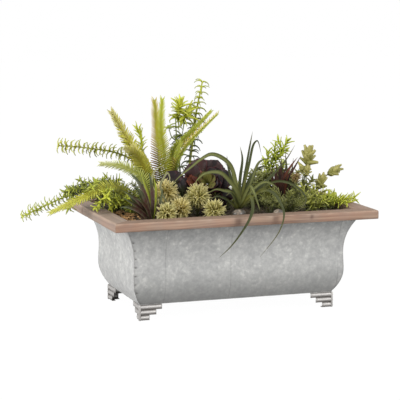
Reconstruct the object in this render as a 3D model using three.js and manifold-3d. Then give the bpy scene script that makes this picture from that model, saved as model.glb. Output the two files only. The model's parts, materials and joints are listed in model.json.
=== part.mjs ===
// A rectangular tin planter with ogee walls, a mitred timber rim, four pressed bracket feet,
// and the artificial planting that it holds.
// Millimetres. +X runs along the planter, +Y to its back, +Z up.
// The parts are laid out round the middle of the base plate's underside. At the end the whole is
// moved so that it stands on z = 0, with the middle of its overall box over the origin.

import * as THREE from 'three';
import { mergeVertices } from 'three/addons/utils/BufferGeometryUtils.js';
import Module from 'manifold-3d';

const wasm = await Module();
wasm.setup();

// Clearances
const SEAT_GAP = 0.3;
const HOLE_GAP = 0.3;
const SIDE_GAP = 1.2;

// Tin body
const BASE_LENGTH = 453;
const BASE_DEPTH = 238;
const TIN_HEIGHT = 174;
const SHEET = 0.8;
const BELLY_OUT = 20;
const BELLY_HEIGHT = 55;
const WAIST_OUT = 18.7;
const WAIST_HEIGHT = 95;
const MOUTH_OUT = 43;
const FLOOR_FLANGE = 12;
const RIM_FLANGE = 18;
const LAP_WIDTH = 11;
const LAP_GAP = 0.7;
const LAP_END_MARGIN = 8;
const CURVE_STEPS = 6;

// Timber rim
const RIM_OVERHANG = 34.5;
const RAIL_WIDTH = 40;
const RAIL_THICKNESS = 19;
const RAIL_ROUNDING = 3.5;
const ROUNDING_STEPS = 3;

// Screws that hold the rim, driven up through the tin's top flange
const SCREW_RADIUS = 1.6;
const SCREW_LENGTH = 14;
const SCREW_HEAD_RADIUS = 3.4;
const SCREW_HEAD_HEIGHT = 1.8;
const SCREW_FROM_MIDDLE_LONG = 190;
const SCREW_FROM_MIDDLE_SHORT = 90;

// Bracket feet and their rivets
const FOOT_SHEET = 1.2;
const RIB_HEIGHT = 11.5;
const RIB_BULGE = 3.8;
const RIB_LENGTHS = [50, 37, 21.5];
const RIB_STEPS = 4;
const FOOT_FLANGE = 14;
const SOLE_WIDTH = 8;
const FOOT_INSET = 1;
const RIVET_RADIUS = 1.6;
const RIVET_HEAD_RADIUS = 3.2;
const RIVET_HEAD_HEIGHT = 1.2;
const RIVET_FROM_CORNER = 38;
const RIVET_FROM_FACE = 7.5;

// Foam block and moss bed
const FOAM_END_MARGIN = 16.5;
const FOAM_SIDE_MARGIN = 16;
const MOSS_BELOW_RIM = 11.3;
const MOSS_DEPTH = 32.6;
const PEG_DEPTH = 14;
const PEG_SIDES = 6;

// Foliage. The plants' points and widths below are in steps of PLANT_GRID.
const PLANT_GRID = 1;
const STEM_SIDES = 6;
const TIP_RADIUS = 0.7;
const CURVE_SAMPLES = 3;

// Worked-out places
const rimHalfDepth = BASE_DEPTH / 2 + MOUTH_OUT + RIM_OVERHANG;
const railBottom = TIN_HEIGHT + SEAT_GAP;
const railTop = railBottom + RAIL_THICKNESS;
const wallBottom = SHEET + SEAT_GAP;
const wallTop = TIN_HEIGHT - SHEET;
const footTop = -SEAT_GAP;
const footHeight = RIB_LENGTHS.length * RIB_HEIGHT;
const innerHalfLength = BASE_LENGTH / 2 + MOUTH_OUT + RIM_OVERHANG - RAIL_WIDTH;
const innerHalfDepth = BASE_DEPTH / 2 + MOUTH_OUT + RIM_OVERHANG - RAIL_WIDTH;
const mossTop = railTop - MOSS_BELOW_RIM;
const mossBottom = mossTop - MOSS_DEPTH;
const foamTop = mossBottom - SEAT_GAP;
const mitreTrim = SEAT_GAP / Math.SQRT2;
const up = new THREE.Vector3(0, 0, 1);

// Materials
function finish(name, color, roughness, metalness) {
  return new THREE.MeshStandardMaterial({ name, color, roughness, metalness });
}

const galvanised = finish('galvanised_tin', 0xa9abac, 0.45, 0.7);
const brightMetal = finish('bright_metal', 0xc4c4c2, 0.3, 0.9);
const timber = finish('weathered_timber', 0xa48a76, 0.75, 0);
const foam = finish('foam', 0x4d5a3a, 0.95, 0);
const moss = finish('moss', 0x5b4a33, 0.95, 0);
const stone = finish('pebble', 0x3a3735, 0.35, 0);
const bark = finish('wood_chip', 0xb98a4e, 0.85, 0);
const needleGreen = finish('needle_green', 0x6f9a2f, 0.55, 0);
const fernGreen = finish('fern_green', 0xa4a94a, 0.6, 0);
const agaveGreen = finish('agave_green', 0x4c6a4e, 0.5, 0);
const sedumGreen = finish('sedum_green', 0xb3b56a, 0.6, 0);
const rosetteMaroon = finish('rosette_maroon', 0x4b2a2a, 0.45, 0);
const airGreen = finish('air_plant_green', 0x6f8a68, 0.6, 0);
const bladeRed = finish('blade_red', 0x6d2a2c, 0.5, 0);
const paleGreen = finish('pale_green', 0xa7b58c, 0.6, 0);
const oliveGreen = finish('olive_green', 0x76803c, 0.6, 0);

// Closed solids and cuts
function closedGeometry(vertices, index) {
  const geometry = new THREE.BufferGeometry();
  geometry.setAttribute('position', new THREE.Float32BufferAttribute(vertices, 3));
  geometry.setIndex(index);
  return geometry;
}

// Joins rings of points, each counter-clockwise seen from the last ring's end, and closes both ends.
function loft(rings, capFaces) {
  const count = rings[0].length;
  const vertices = rings.flat().flatMap((point) => [point.x, point.y, point.z]);
  const index = [];
  for (let ring = 0; ring < rings.length - 1; ring += 1) {
    for (let i = 0; i < count; i += 1) {
      const a = ring * count + i;
      const b = ring * count + ((i + 1) % count);
      index.push(a, b, b + count, a, b + count, a + count);
    }
  }
  const last = (rings.length - 1) * count;
  for (const [a, b, c] of capFaces) {
    index.push(a, c, b, last + a, last + b, last + c);
  }
  return closedGeometry(vertices, index);
}

function toManifold(geometry) {
  const bare = geometry.clone();
  bare.deleteAttribute('normal');
  bare.deleteAttribute('uv');
  const welded = mergeVertices(bare, 1e-3);
  return new wasm.Manifold(new wasm.Mesh({
    numProp: 3,
    vertProperties: new Float32Array(welded.attributes.position.array),
    triVerts: new Uint32Array(welded.index.array),
  }));
}

function toGeometry(solid) {
  const mesh = solid.getMesh();
  return closedGeometry(Array.from(mesh.vertProperties), Array.from(mesh.triVerts));
}

function joined(geometries) {
  return toGeometry(geometries.map(toManifold).reduce((sum, solid) => sum.add(solid)));
}

function cutFrom(geometry, tools) {
  return toGeometry(tools.map(toManifold).reduce((rest, tool) => rest.subtract(tool), toManifold(geometry)));
}

function uprightCylinder(x, y, bottom, top, radius, sides) {
  const geometry = new THREE.CylinderGeometry(radius, radius, top - bottom, sides);
  geometry.rotateX(Math.PI / 2);
  geometry.translate(x, y, (top + bottom) / 2);
  return geometry;
}

function block(width, depth, height, x, y, z) {
  const geometry = new THREE.BoxGeometry(width, depth, height);
  geometry.translate(x, y, z);
  return geometry;
}

// Profiles, as points of (distance outward from the base's edge, height)
function offsetLine(points, distance) {
  return points.map((point, i) => {
    const before = points[Math.max(i - 1, 0)];
    const after = points[Math.min(i + 1, points.length - 1)];
    const ahead = after.clone().sub(point);
    const behind = point.clone().sub(before);
    const first = (i === 0 ? ahead : behind).normalize();
    const second = (i === points.length - 1 ? behind : ahead).normalize();
    const normal = new THREE.Vector2(-first.y - second.y, first.x + second.x).normalize();
    const share = normal.dot(new THREE.Vector2(-first.y, first.x));
    return point.clone().addScaledVector(normal, distance / share);
  });
}

function thickened(points, thickness) {
  return [...points, ...offsetLine(points, thickness).reverse()];
}

// The ogee: in at the foot, out over the belly, back to the waist and out again to the mouth.
function wallCurve() {
  const place = (out, height) => new THREE.Vector2(out, height);
  const foot = new THREE.CubicBezierCurve(
    place(0, wallBottom),
    place(BELLY_OUT * 0.4, BELLY_HEIGHT * 0.22),
    place(BELLY_OUT, BELLY_HEIGHT * 0.55),
    place(BELLY_OUT, BELLY_HEIGHT),
  );
  const rise = WAIST_HEIGHT - BELLY_HEIGHT;
  const waist = new THREE.CubicBezierCurve(
    place(BELLY_OUT, BELLY_HEIGHT),
    place(BELLY_OUT, BELLY_HEIGHT + rise * 0.4),
    place(WAIST_OUT, WAIST_HEIGHT - rise * 0.4),
    place(WAIST_OUT, WAIST_HEIGHT),
  );
  const throat = wallTop - WAIST_HEIGHT;
  const flare = MOUTH_OUT - WAIST_OUT;
  const mouth = new THREE.CubicBezierCurve(
    place(WAIST_OUT, WAIST_HEIGHT),
    place(WAIST_OUT, WAIST_HEIGHT + throat * 0.38),
    place(WAIST_OUT + flare * 0.34, WAIST_HEIGHT + throat * 0.7),
    place(MOUTH_OUT, wallTop),
  );
  return [
    ...foot.getPoints(CURVE_STEPS),
    ...waist.getPoints(CURVE_STEPS / 2).slice(1),
    ...mouth.getPoints(CURVE_STEPS).slice(1),
  ];
}

const wallLine = wallCurve();

function wallOutAt(height) {
  const above = wallLine.findIndex((point) => point.y >= height);
  const low = wallLine[above - 1];
  const high = wallLine[above];
  return THREE.MathUtils.mapLinear(height, low.y, high.y, low.x, high.x);
}

// One side of a rectangular frame, facing -Y, with a profile that runs between two mitres.
// endOf gives each profile point's distance from the middle of the side.
function sideSolid(profile, halfDepth, endOf) {
  const contour = THREE.ShapeUtils.area(profile) > 0 ? [...profile].reverse() : profile;
  const ring = (side) => contour.map((point) => (
    new THREE.Vector3(side * endOf(point), -(halfDepth + point.x), point.y)
  ));
  const flat = contour.map((point) => new THREE.Vector2(-point.x, point.y));
  return loft([ring(-1), ring(1)], THREE.ShapeUtils.triangulateShape(flat, []));
}

// The screws' places along a side, and their distance outward from the base's edge
const screwOut = MOUTH_OUT + RIM_FLANGE / 2 + SHEET;

function screwHoles(halfDepth, fromMiddle, bottom, top) {
  return [-fromMiddle, fromMiddle].map((x) => (
    uprightCylinder(x, -(halfDepth + screwOut), bottom, top, SCREW_RADIUS + HOLE_GAP, 10)
  ));
}

// The rivets' places in one quarter, from the middle of the base
const footCorner = { x: BASE_LENGTH / 2 - FOOT_INSET, y: BASE_DEPTH / 2 - FOOT_INSET };
const rivetPlaces = [
  { name: 'long', x: footCorner.x - RIVET_FROM_CORNER, y: footCorner.y - RIVET_FROM_FACE },
  { name: 'short', x: footCorner.x - RIVET_FROM_FACE, y: footCorner.y - RIVET_FROM_CORNER },
];

function rivetHoles(places, bottom, top) {
  return places.map(([x, y]) => uprightCylinder(x, y, bottom, top, RIVET_RADIUS + HOLE_GAP, 10));
}

// Tin walls
function wallProfile() {
  const line = [
    new THREE.Vector2(-FLOOR_FLANGE, wallBottom),
    ...wallLine,
    new THREE.Vector2(MOUTH_OUT + RIM_FLANGE, wallTop),
  ];
  return thickened(line, SHEET);
}

function wallBlank(halfLength, halfDepth, screwFromMiddle) {
  const blank = sideSolid(wallProfile(), halfDepth, (point) => halfLength + point.x - mitreTrim);
  const along = rivetPlaces.map((place) => (
    halfLength > halfDepth ? [place.x, place.y] : [place.y, place.x]
  ));
  const bothEnds = along.flatMap(([x, y]) => [[x, -y], [-x, -y]]);
  return cutFrom(blank, [
    ...screwHoles(halfDepth, screwFromMiddle, wallTop - SHEET, TIN_HEIGHT + SHEET),
    ...rivetHoles(bothEnds, 0, wallBottom + 2 * SHEET),
  ]);
}

// An end wall's vertical edges turn in behind the long walls, where they are crimped.
// Depths are level distances in from the walls' outer faces.
function cornerLap(halfLength, halfDepth, side) {
  const laid = wallLine.filter((point) => (
    point.y > wallBottom + LAP_END_MARGIN && point.y < wallTop - LAP_END_MARGIN
  ));
  const nearDepth = SHEET * 0.4;
  const outerDepth = SHEET + LAP_GAP;
  const innerDepth = outerDepth + SHEET;
  const contour = [
    ...laid.map((point) => ({ point, depth: outerDepth })),
    ...laid.map((point) => ({ point, depth: innerDepth })).reverse(),
  ];
  const ring = (endDepth) => contour.map(({ point, depth }) => new THREE.Vector3(
    halfLength + point.x - endDepth,
    side * (halfDepth + point.x - depth),
    point.y,
  ));
  const near = ring(nearDepth);
  const far = ring(LAP_WIDTH);
  const last = contour.length - 1;
  const faces = laid.slice(1).flatMap((_, i) => [
    [i, i + 1, last - i],
    [i + 1, last - i - 1, last - i],
  ]);
  return loft(side > 0 ? [far, near] : [near, far], faces);
}

function longWall() {
  return wallBlank(BASE_LENGTH / 2, BASE_DEPTH / 2, SCREW_FROM_MIDDLE_LONG);
}

function endWall() {
  const panel = wallBlank(BASE_DEPTH / 2, BASE_LENGTH / 2, SCREW_FROM_MIDDLE_SHORT);
  const laps = [-1, 1].map((side) => {
    const lap = cornerLap(BASE_LENGTH / 2, BASE_DEPTH / 2, side);
    lap.rotateZ(-Math.PI / 2);
    return lap;
  });
  return joined([panel, ...laps]);
}

function basePlate() {
  const plate = block(BASE_LENGTH, BASE_DEPTH, SHEET, 0, 0, SHEET / 2);
  const places = rivetPlaces.flatMap(({ x, y }) => [[x, y], [-x, y], [-x, -y], [x, -y]]);
  return cutFrom(plate, rivetHoles(places, -SHEET, 2 * SHEET));
}

// Timber rim
function roundedCorner(x, y, fromAngle) {
  const arc = new THREE.EllipseCurve(
    x,
    y,
    RAIL_ROUNDING,
    RAIL_ROUNDING,
    fromAngle,
    fromAngle + Math.PI / 2,
  );
  return arc.getPoints(ROUNDING_STEPS);
}

function rail(halfLength, halfDepth, screwFromMiddle) {
  const outer = MOUTH_OUT + RIM_OVERHANG;
  const inner = outer - RAIL_WIDTH;
  const profile = [
    new THREE.Vector2(inner, railBottom),
    new THREE.Vector2(outer, railBottom),
    ...roundedCorner(outer - RAIL_ROUNDING, railTop - RAIL_ROUNDING, 0),
    new THREE.Vector2(inner, railTop),
  ];
  const board = sideSolid(profile, halfDepth, (point) => halfLength + point.x - mitreTrim);
  const pilotTop = railBottom + SCREW_LENGTH + HOLE_GAP;
  return cutFrom(board, screwHoles(halfDepth, screwFromMiddle, railBottom - SHEET, pilotTop));
}

// Fasteners, each on its own vertical axis
function screw() {
  const seat = wallTop - SEAT_GAP;
  const profile = [
    [0, seat - SCREW_HEAD_HEIGHT],
    [SCREW_HEAD_RADIUS * 0.7, seat - SCREW_HEAD_HEIGHT],
    [SCREW_HEAD_RADIUS, seat - SCREW_HEAD_HEIGHT * 0.4],
    [SCREW_HEAD_RADIUS, seat],
    [SCREW_RADIUS, seat],
    [SCREW_RADIUS, railBottom + SCREW_LENGTH - 2 * SCREW_RADIUS],
    [0, railBottom + SCREW_LENGTH],
  ];
  return upright(profile);
}

function rivet() {
  const under = footTop - FOOT_SHEET - SEAT_GAP;
  const over = wallBottom + SHEET + SEAT_GAP;
  const profile = [
    [0, under - RIVET_HEAD_HEIGHT],
    [RIVET_HEAD_RADIUS * 0.7, under - RIVET_HEAD_HEIGHT * 0.8],
    [RIVET_HEAD_RADIUS, under],
    [RIVET_RADIUS, under],
    [RIVET_RADIUS, over],
    [RIVET_HEAD_RADIUS, over],
    [RIVET_HEAD_RADIUS * 0.7, over + RIVET_HEAD_HEIGHT * 0.8],
    [0, over + RIVET_HEAD_HEIGHT],
  ];
  return upright(profile);
}

function upright(profile) {
  const geometry = new THREE.LatheGeometry(profile.map(([r, z]) => new THREE.Vector2(r, z)), 10);
  geometry.rotateX(Math.PI / 2);
  return geometry;
}

// Bracket foot, with its corner at the origin and its legs along +X and +Y
function ribLine() {
  const points = [new THREE.Vector2(-FOOT_FLANGE, footTop), new THREE.Vector2(0, footTop)];
  for (let rib = 0; rib < RIB_LENGTHS.length; rib += 1) {
    for (let step = 1; step <= RIB_STEPS; step += 1) {
      const share = step / RIB_STEPS;
      const bulge = RIB_BULGE * Math.sin(Math.PI * share);
      points.push(new THREE.Vector2(bulge, footTop - RIB_HEIGHT * (rib + share)));
    }
  }
  points.push(new THREE.Vector2(-SOLE_WIDTH, footTop - footHeight));
  return points.reverse();
}

function foot() {
  const profile = thickened(ribLine(), FOOT_SHEET);
  const contour = THREE.ShapeUtils.area(profile) > 0 ? [...profile].reverse() : profile;
  const [longest] = RIB_LENGTHS;
  const rings = [
    contour.map(({ x, y }) => new THREE.Vector3(-x, longest, y)),
    contour.map(({ x, y }) => new THREE.Vector3(-x, -x, y)),
    contour.map(({ x, y }) => new THREE.Vector3(longest, -x, y)),
  ];
  const flat = contour.map(({ x, y }) => new THREE.Vector2(-x, y));
  const sheet = loft(rings, THREE.ShapeUtils.triangulateShape(flat, []));
  const steps = RIB_LENGTHS.slice(1).flatMap((length, i) => {
    const height = footHeight;
    const top = footTop - RIB_HEIGHT * (i + 1);
    const spare = 2 * longest;
    return [
      block(spare, spare, height, length + longest, 0, top - height / 2),
      block(spare, spare, height, 0, length + longest, top - height / 2),
    ];
  });
  const holes = rivetHoles([
    [RIVET_FROM_CORNER, RIVET_FROM_FACE],
    [RIVET_FROM_FACE, RIVET_FROM_CORNER],
  ], footTop - 2 * FOOT_SHEET, footTop + FOOT_SHEET);
  return cutFrom(sheet, [...steps, ...holes]);
}

// Curved foliage pieces. Points are (x, y, height above the moss).
function plantPoint(x, y, z) {
  return new THREE.Vector3(x, y, z).multiplyScalar(PLANT_GRID);
}

function spine(points) {
  const curve = new THREE.CatmullRomCurve3(points.map((point) => plantPoint(...point)));
  const count = (points.length - 1) * CURVE_SAMPLES;
  return { count, place: (i) => curve.getPoint(i / count), heading: (i) => curve.getTangent(i / count) };
}

// A strip or stem along a spine. sizeAt gives half its width and half its thickness at a share
// of its length, and its width lies square to the given facing direction.
function limb(points, facing, sides, sizeAt) {
  const { count, place, heading } = spine(points);
  const rings = [];
  for (let i = 0; i <= count; i += 1) {
    const centre = place(i);
    const tangent = heading(i);
    const across = facing.clone().cross(tangent).normalize();
    const through = tangent.clone().cross(across).normalize();
    const [half, thick] = sizeAt(i / count);
    const ring = [];
    for (let side = 0; side < sides; side += 1) {
      const angle = (2 * Math.PI * side) / sides;
      ring.push(centre.clone()
        .addScaledVector(across, half * Math.cos(angle))
        .addScaledVector(through, thick * Math.sin(angle)));
    }
    rings.push(ring);
  }
  const fan = Array.from({ length: sides - 2 }, (_, i) => [0, i + 1, i + 2]);
  return loft(rings, fan);
}

const toViewer = new THREE.Vector3(-0.35, -0.93, 0.15).normalize();

function stem(points, radius) {
  return limb(points, toViewer, STEM_SIDES, (share) => {
    const r = TIP_RADIUS + (radius * PLANT_GRID - TIP_RADIUS) * Math.min(1, 2.5 * (1 - share));
    return [r, r];
  });
}

function blade(points, halfWidth, facing = toViewer) {
  return limb(points, facing, 4, (share) => {
    const fullness = PLANT_GRID * Math.min(1, 0.55 + share * 1.5, 2.2 * (1 - share));
    return [TIP_RADIUS + halfWidth * fullness, TIP_RADIUS + halfWidth * 0.14 * fullness];
  });
}

function frond(points, halfWidth) {
  return limb(points, toViewer, 4, (share) => {
    const fullness = PLANT_GRID * Math.min(1, 0.12 + share * 2.2, 1.5 * (1 - share));
    return [TIP_RADIUS + halfWidth * Math.max(0, fullness), TIP_RADIUS + 0.5 * PLANT_GRID];
  });
}

function ball(x, y, z, radius) {
  const geometry = new THREE.IcosahedronGeometry(radius * PLANT_GRID, 1);
  geometry.translate(...plantPoint(x, y, z).toArray());
  return geometry;
}

function peg(x, y, radius) {
  const [atX, atY, top] = plantPoint(x, y, 9).toArray();
  return uprightCylinder(atX, atY, -PEG_DEPTH, top, radius * PLANT_GRID, PEG_SIDES);
}

// The planting: each plant has a peg in the moss at its root, its colour and its pieces.
const hangFront = (clear) => -(rimHalfDepth / PLANT_GRID + clear);
const overRim = (clear) => MOSS_BELOW_RIM / PLANT_GRID + clear;

const plants = [
  {
    name: 'needle_stem_tall',
    root: [-43, 84, 4],
    material: needleGreen,
    pieces: () => [stem([[-43, 84, 6], [-43, 84, 92], [-38, 82, 134], [-32, 76, 201], [-20, 64, 287]], 6)],
  },
  {
    name: 'needle_stem_tuft',
    root: [-70, 64, 4],
    material: needleGreen,
    pieces: () => [
      stem([[-70, 64, 6], [-74, 64, 97], [-82, 64, 168], [-87, 64, 206], [-78, 62, 240]], 5),
      ball(-84, 64, 218, 11),
    ],
  },
  {
    name: 'needle_stems_back_left',
    root: [-128, 78, 4],
    material: needleGreen,
    pieces: () => [
      stem([[-128, 78, 6], [-146, 82, 84], [-205, 96, 124], [-281, 104, 143], [-350, 108, 152]], 6),
      stem([[-128, 78, 6], [-138, 92, 95], [-153, 99, 131], [-155, 99, 160], [-163, 99, 178]], 4),
    ],
  },
  {
    name: 'needle_stems_left',
    root: [-185, 52, 5],
    material: needleGreen,
    pieces: () => [
      stem([[-185, 52, 9], [-235, 48, 57], [-281, 44, 54], [-341, 34, 42], [-400, 24, 22], [-457, 12, 2]], 8),
      stem([[-185, 52, 9], [-214, 46, 68], [-250, 44, 92], [-283, 44, 104]], 8),
    ],
  },
  {
    name: 'needle_stems_front_left',
    root: [-205, -14, 5],
    material: needleGreen,
    pieces: () => [
      stem([[-205, -14, 9], [-240, -10, 52], [-284, -8, 70], [-326, -6, 84], [-357, -6, 76]], 8),
      stem([[-205, -14, 10], [-246, -38, 40], [-284, -48, 53], [-327, -60, 45]], 9),
    ],
  },
  {
    name: 'fern_left',
    root: [-155, 20, 4],
    material: fernGreen,
    pieces: () => [
      frond([[-155, 20, 4], [-172, 24, 92], [-189, 24, 126], [-214, 22, 170], [-250, 14, 231]], 13),
      frond([[-155, 20, 4], [-174, 14, 71], [-196, 10, 90], [-230, 2, 106], [-283, -8, 114]], 11),
      frond([[-155, 20, 4], [-172, 12, 88], [-198, -8, 130], [-235, -38, 153]], 11),
    ],
  },
  {
    name: 'fern_middle',
    root: [-126, 26, 4],
    material: fernGreen,
    pieces: () => [
      frond([[-126, 26, 4], [-140, 22, 118], [-143, 17, 183], [-153, 7, 255]], 13),
      frond([[-126, 26, 4], [-124, 30, 124], [-130, 28, 181], [-128, 20, 256]], 13),
    ],
  },
  {
    name: 'fern_right',
    root: [-94, 30, 4],
    material: fernGreen,
    pieces: () => [
      frond([[-94, 30, 4], [-86, 40, 133], [-69, 42, 155], [-44, 45, 181], [-1, 50, 220]], 12),
      frond([[-94, 30, 4], [-89, 22, 112], [-64, 22, 145], [-32, 24, 176], [6, 28, 215]], 12),
    ],
  },
  {
    name: 'agave',
    root: [-198, -116, 6],
    material: agaveGreen,
    pieces: () => [
      blade([[-198, -116, 2], [-212, -114, 57], [-228, -110, 89], [-244, -104, 106]], 6),
      blade([[-198, -116, 2], [-204, -111, 56], [-213, -106, 84], [-219, -104, 104]], 6),
      blade([[-198, -116, 2], [-196, -116, 56], [-200, -116, 85], [-204, -116, 106]], 6),
      blade([[-198, -116, 2], [-228, -121, 44], [-249, -126, 60], [-269, -131, 72]], 6),
      blade([[-198, -116, 4], [-229, -126, 32], [-252, -134, 47], [-269, -138, 57]], 6),
      blade([[-198, -116, 6], [-231, -131, 26], [-258, -138, 37], [-279, -144, 38]], 6),
    ],
  },
  {
    name: 'sedum_ball_back_left',
    root: [-150, -60, 3],
    material: sedumGreen,
    pieces: () => [stem([[-150, -60, 6], [-150, -60, 20], [-148, -60, 40]], 3), ball(-148, -60, 53, 23)],
  },
  {
    name: 'sedum_ball_back_right',
    root: [-84, -92, 3],
    material: sedumGreen,
    pieces: () => [stem([[-84, -92, 6], [-84, -92, 16], [-84, -92, 32]], 3), ball(-84, -92, 46, 21)],
  },
  {
    name: 'sedum_ball_middle',
    root: [-131, -108, 3],
    material: sedumGreen,
    pieces: () => [ball(-131, -108, 23, 21)],
  },
  {
    name: 'sedum_ball_front_left',
    root: [-170, -136, 3],
    material: sedumGreen,
    pieces: () => [ball(-170, -136, 19, 18)],
  },
  {
    name: 'sedum_ball_front_right',
    root: [-62, -134, 3],
    material: sedumGreen,
    pieces: () => [ball(-62, -134, 20, 18)],
  },
  {
    name: 'rosette',
    root: [-46, -30, 5],
    material: rosetteMaroon,
    pieces: rosettePieces,
  },
  {
    name: 'air_plant',
    root: [7, -102, 8],
    material: airGreen,
    pieces: () => airLeaves.map(({ halfWidth, points }) => (
      blade([[7, -102, 4], ...points], halfWidth)
    )),
  },
  {
    name: 'red_blades',
    root: [142, -16, 5],
    material: bladeRed,
    pieces: () => [
      blade([[142, -16, 2], [148, -18, 62], [163, -22, 92], [179, -26, 114]], 6),
      blade([[142, -16, 2], [160, -12, 61], [177, -14, 90], [192, -16, 118]], 6),
      blade([[142, -16, 2], [137, -22, 81], [137, -24, 98]], 6),
      blade([[142, -16, 2], [128, -30, 50], [112, -36, 72]], 6),
    ],
  },
  {
    name: 'sedum_ball_tan',
    root: [170, -46, 3],
    material: sedumGreen,
    pieces: () => [stem([[170, -46, 6], [170, -46, 30], [168, -44, 62]], 3), ball(168, -44, 70, 13)],
  },
  {
    name: 'pale_rosette_stem_back',
    root: [217, 42, 3],
    material: paleGreen,
    pieces: () => [
      stem([[217, 42, 6], [226, 36, 76], [230, 32, 104]], 3),
      ball(230, 32, 112, 15),
    ],
  },
  {
    name: 'pale_rosette_stem_front',
    root: [228, 6, 3],
    material: paleGreen,
    pieces: () => [
      stem([[228, 6, 6], [215, 6, 56], [215, 5, 80]], 3),
      ball(218, 2, 88, 14),
      stem([[228, 6, 6], [266, 10, 50], [282, 6, 72]], 3),
      ball(282, 6, 78, 12),
      stem([[228, 6, 6], [246, 2, 36], [248, -6, 60]], 3),
      ball(248, -8, 66, 12),
    ],
  },
  {
    name: 'olive_tuft',
    root: [119, -112, 5],
    material: oliveGreen,
    pieces: () => [
      stem([[119, -112, 9], [88, -124, 26], [56, -132, 44]], 8),
      stem([[119, -112, 10], [116, -122, 30], [119, -126, 52]], 9),
      stem([[119, -112, 9], [140, -122, 28], [156, -128, 40]], 8),
    ],
  },
  {
    name: 'lime_sprigs',
    root: [156, 86, 4],
    material: oliveGreen,
    pieces: () => [
      stem([[156, 86, 6], [158, 88, 88], [172, 88, 112], [187, 86, 135], [178, 84, 154]], 5),
      stem([[156, 86, 6], [164, 82, 85], [184, 80, 115], [205, 80, 150]], 5),
    ],
  },
  {
    name: 'lime_tuft',
    root: [182, -104, 5],
    material: oliveGreen,
    pieces: () => [
      stem([[182, -104, 9], [164, -106, 36], [156, -108, 60]], 8),
      stem([[182, -104, 9], [194, -108, 34], [211, -113, 49]], 8),
    ],
  },
  {
    name: 'needle_stems_right',
    root: [232, -48, 5],
    material: needleGreen,
    pieces: () => [
      stem([[232, -48, 9], [270, -34, 32], [305, -26, 36], [331, -24, 30]], 8),
      stem([[232, -48, 9], [240, -60, 28], [262, -70, 34], [287, -80, 32]], 8),
      stem([[232, -48, 9], [222, -50, 34], [238, -52, 46], [262, -50, 50]], 8),
    ],
  },
  {
    name: 'grey_blades',
    root: [184, 40, 4],
    material: airGreen,
    pieces: () => [
      blade([[184, 40, 2], [182, 42, 60], [178, 44, 120]], 5),
      blade([[184, 40, 2], [190, 40, 50], [196, 38, 104]], 5),
    ],
  },
];

// The air plant's arching leaves, each from its half width and its points past the shared crown
const airLeaves = [
  { halfWidth: 4.5, points: [[28, -92, 108], [43, -82, 164], [48, -78, 180]] },
  { halfWidth: 4.5, points: [[29, -104, 109], [40, -104, 160], [50, -102, 162], [62, -98, 130]] },
  {
    halfWidth: 5,
    points: [
      [1, -107, 49],
      [-10, -112, 106],
      [-31, -112, 130],
      [-59, -111, 137],
      [-84, -109, 129],
      [-112, -109, 106],
      [-153, -110, 84],
    ],
  },
  { halfWidth: 4.5, points: [[3, -112, 47], [-26, -121, 90], [-63, -126, 104], [-88, -129, 98]] },
  { halfWidth: 4, points: [[-17, -116, 54], [-49, -126, 62], [-78, -132, 58]] },
  {
    halfWidth: 4.5,
    points: [
      [14, -150, 49],
      [2, hangFront(2), overRim(20)],
      [-12, hangFront(20), overRim(0)],
      [-33, hangFront(27), overRim(-28)],
      [-59, hangFront(30), overRim(-57)],
      [-85, hangFront(30), overRim(-79)],
    ],
  },
  { halfWidth: 4.5, points: [[22, -130, 68], [24, -150, 57], [27, -166, 35], [28, -176, 21]] },
  {
    halfWidth: 5,
    points: [
      [43, -148, 60],
      [58, hangFront(-22), overRim(48)],
      [68, hangFront(0), overRim(26)],
      [69, hangFront(16), overRim(4)],
      [54, hangFront(27), overRim(-30)],
      [9, hangFront(32), overRim(-82)],
    ],
  },
  {
    halfWidth: 5,
    points: [
      [93, -104, 72],
      [119, -124, 70],
      [134, -146, 58],
      [138, -172, 42],
      [121, hangFront(-5), overRim(15)],
      [88, hangFront(6), overRim(3)],
    ],
  },
  { halfWidth: 4.5, points: [[42, -90, 73], [64, -80, 114], [97, -76, 122]] },
  { halfWidth: 4.5, points: [[71, -82, 62], [108, -68, 89], [140, -56, 116], [162, -50, 145]] },
];

// The dark rosette: rings of broad leaves round an axis that leans to the front
function rosettePieces() {
  const centre = new THREE.Vector3(-48, -38, 62);
  const axis = new THREE.Vector3(-0.25, -0.55, 0.8).normalize();
  const side = axis.clone().cross(up).normalize();
  const top = side.clone().cross(axis).normalize();
  const rings = [
    { leaves: 8, reach: 52, lift: 6, width: 14, turn: 0.2 },
    { leaves: 6, reach: 37, lift: 22, width: 11, turn: 0.5 },
    { leaves: 3, reach: 17, lift: 28, width: 8, turn: 0.1 },
  ];
  const point = (reach, lift, angle) => centre.clone()
    .addScaledVector(axis, lift)
    .addScaledVector(side, reach * Math.cos(angle))
    .addScaledVector(top, reach * Math.sin(angle))
    .toArray();
  const leaves = rings.flatMap(({ leaves: count, reach, lift, width, turn }) => (
    Array.from({ length: count }, (_, i) => {
      const angle = turn + (2 * Math.PI * i) / count;
      const path = [point(2, 0, angle), point(reach * 0.55, lift * 0.35, angle), point(reach, lift, angle)];
      return blade(path, width, axis);
    })
  ));
  const middle = centre.toArray();
  return [stem([[-46, -30, 6], [-47, -34, 30], middle], 5), ball(...middle, 9), ...leaves];
}

// Foam, moss and the loose dressing
function foamBlock() {
  const length = BASE_LENGTH - 2 * FOAM_END_MARGIN;
  const depth = BASE_DEPTH - 2 * FOAM_SIDE_MARGIN;
  const height = foamTop - wallBottom;
  return block(length, depth, height, 0, 0, wallBottom + height / 2);
}

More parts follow.
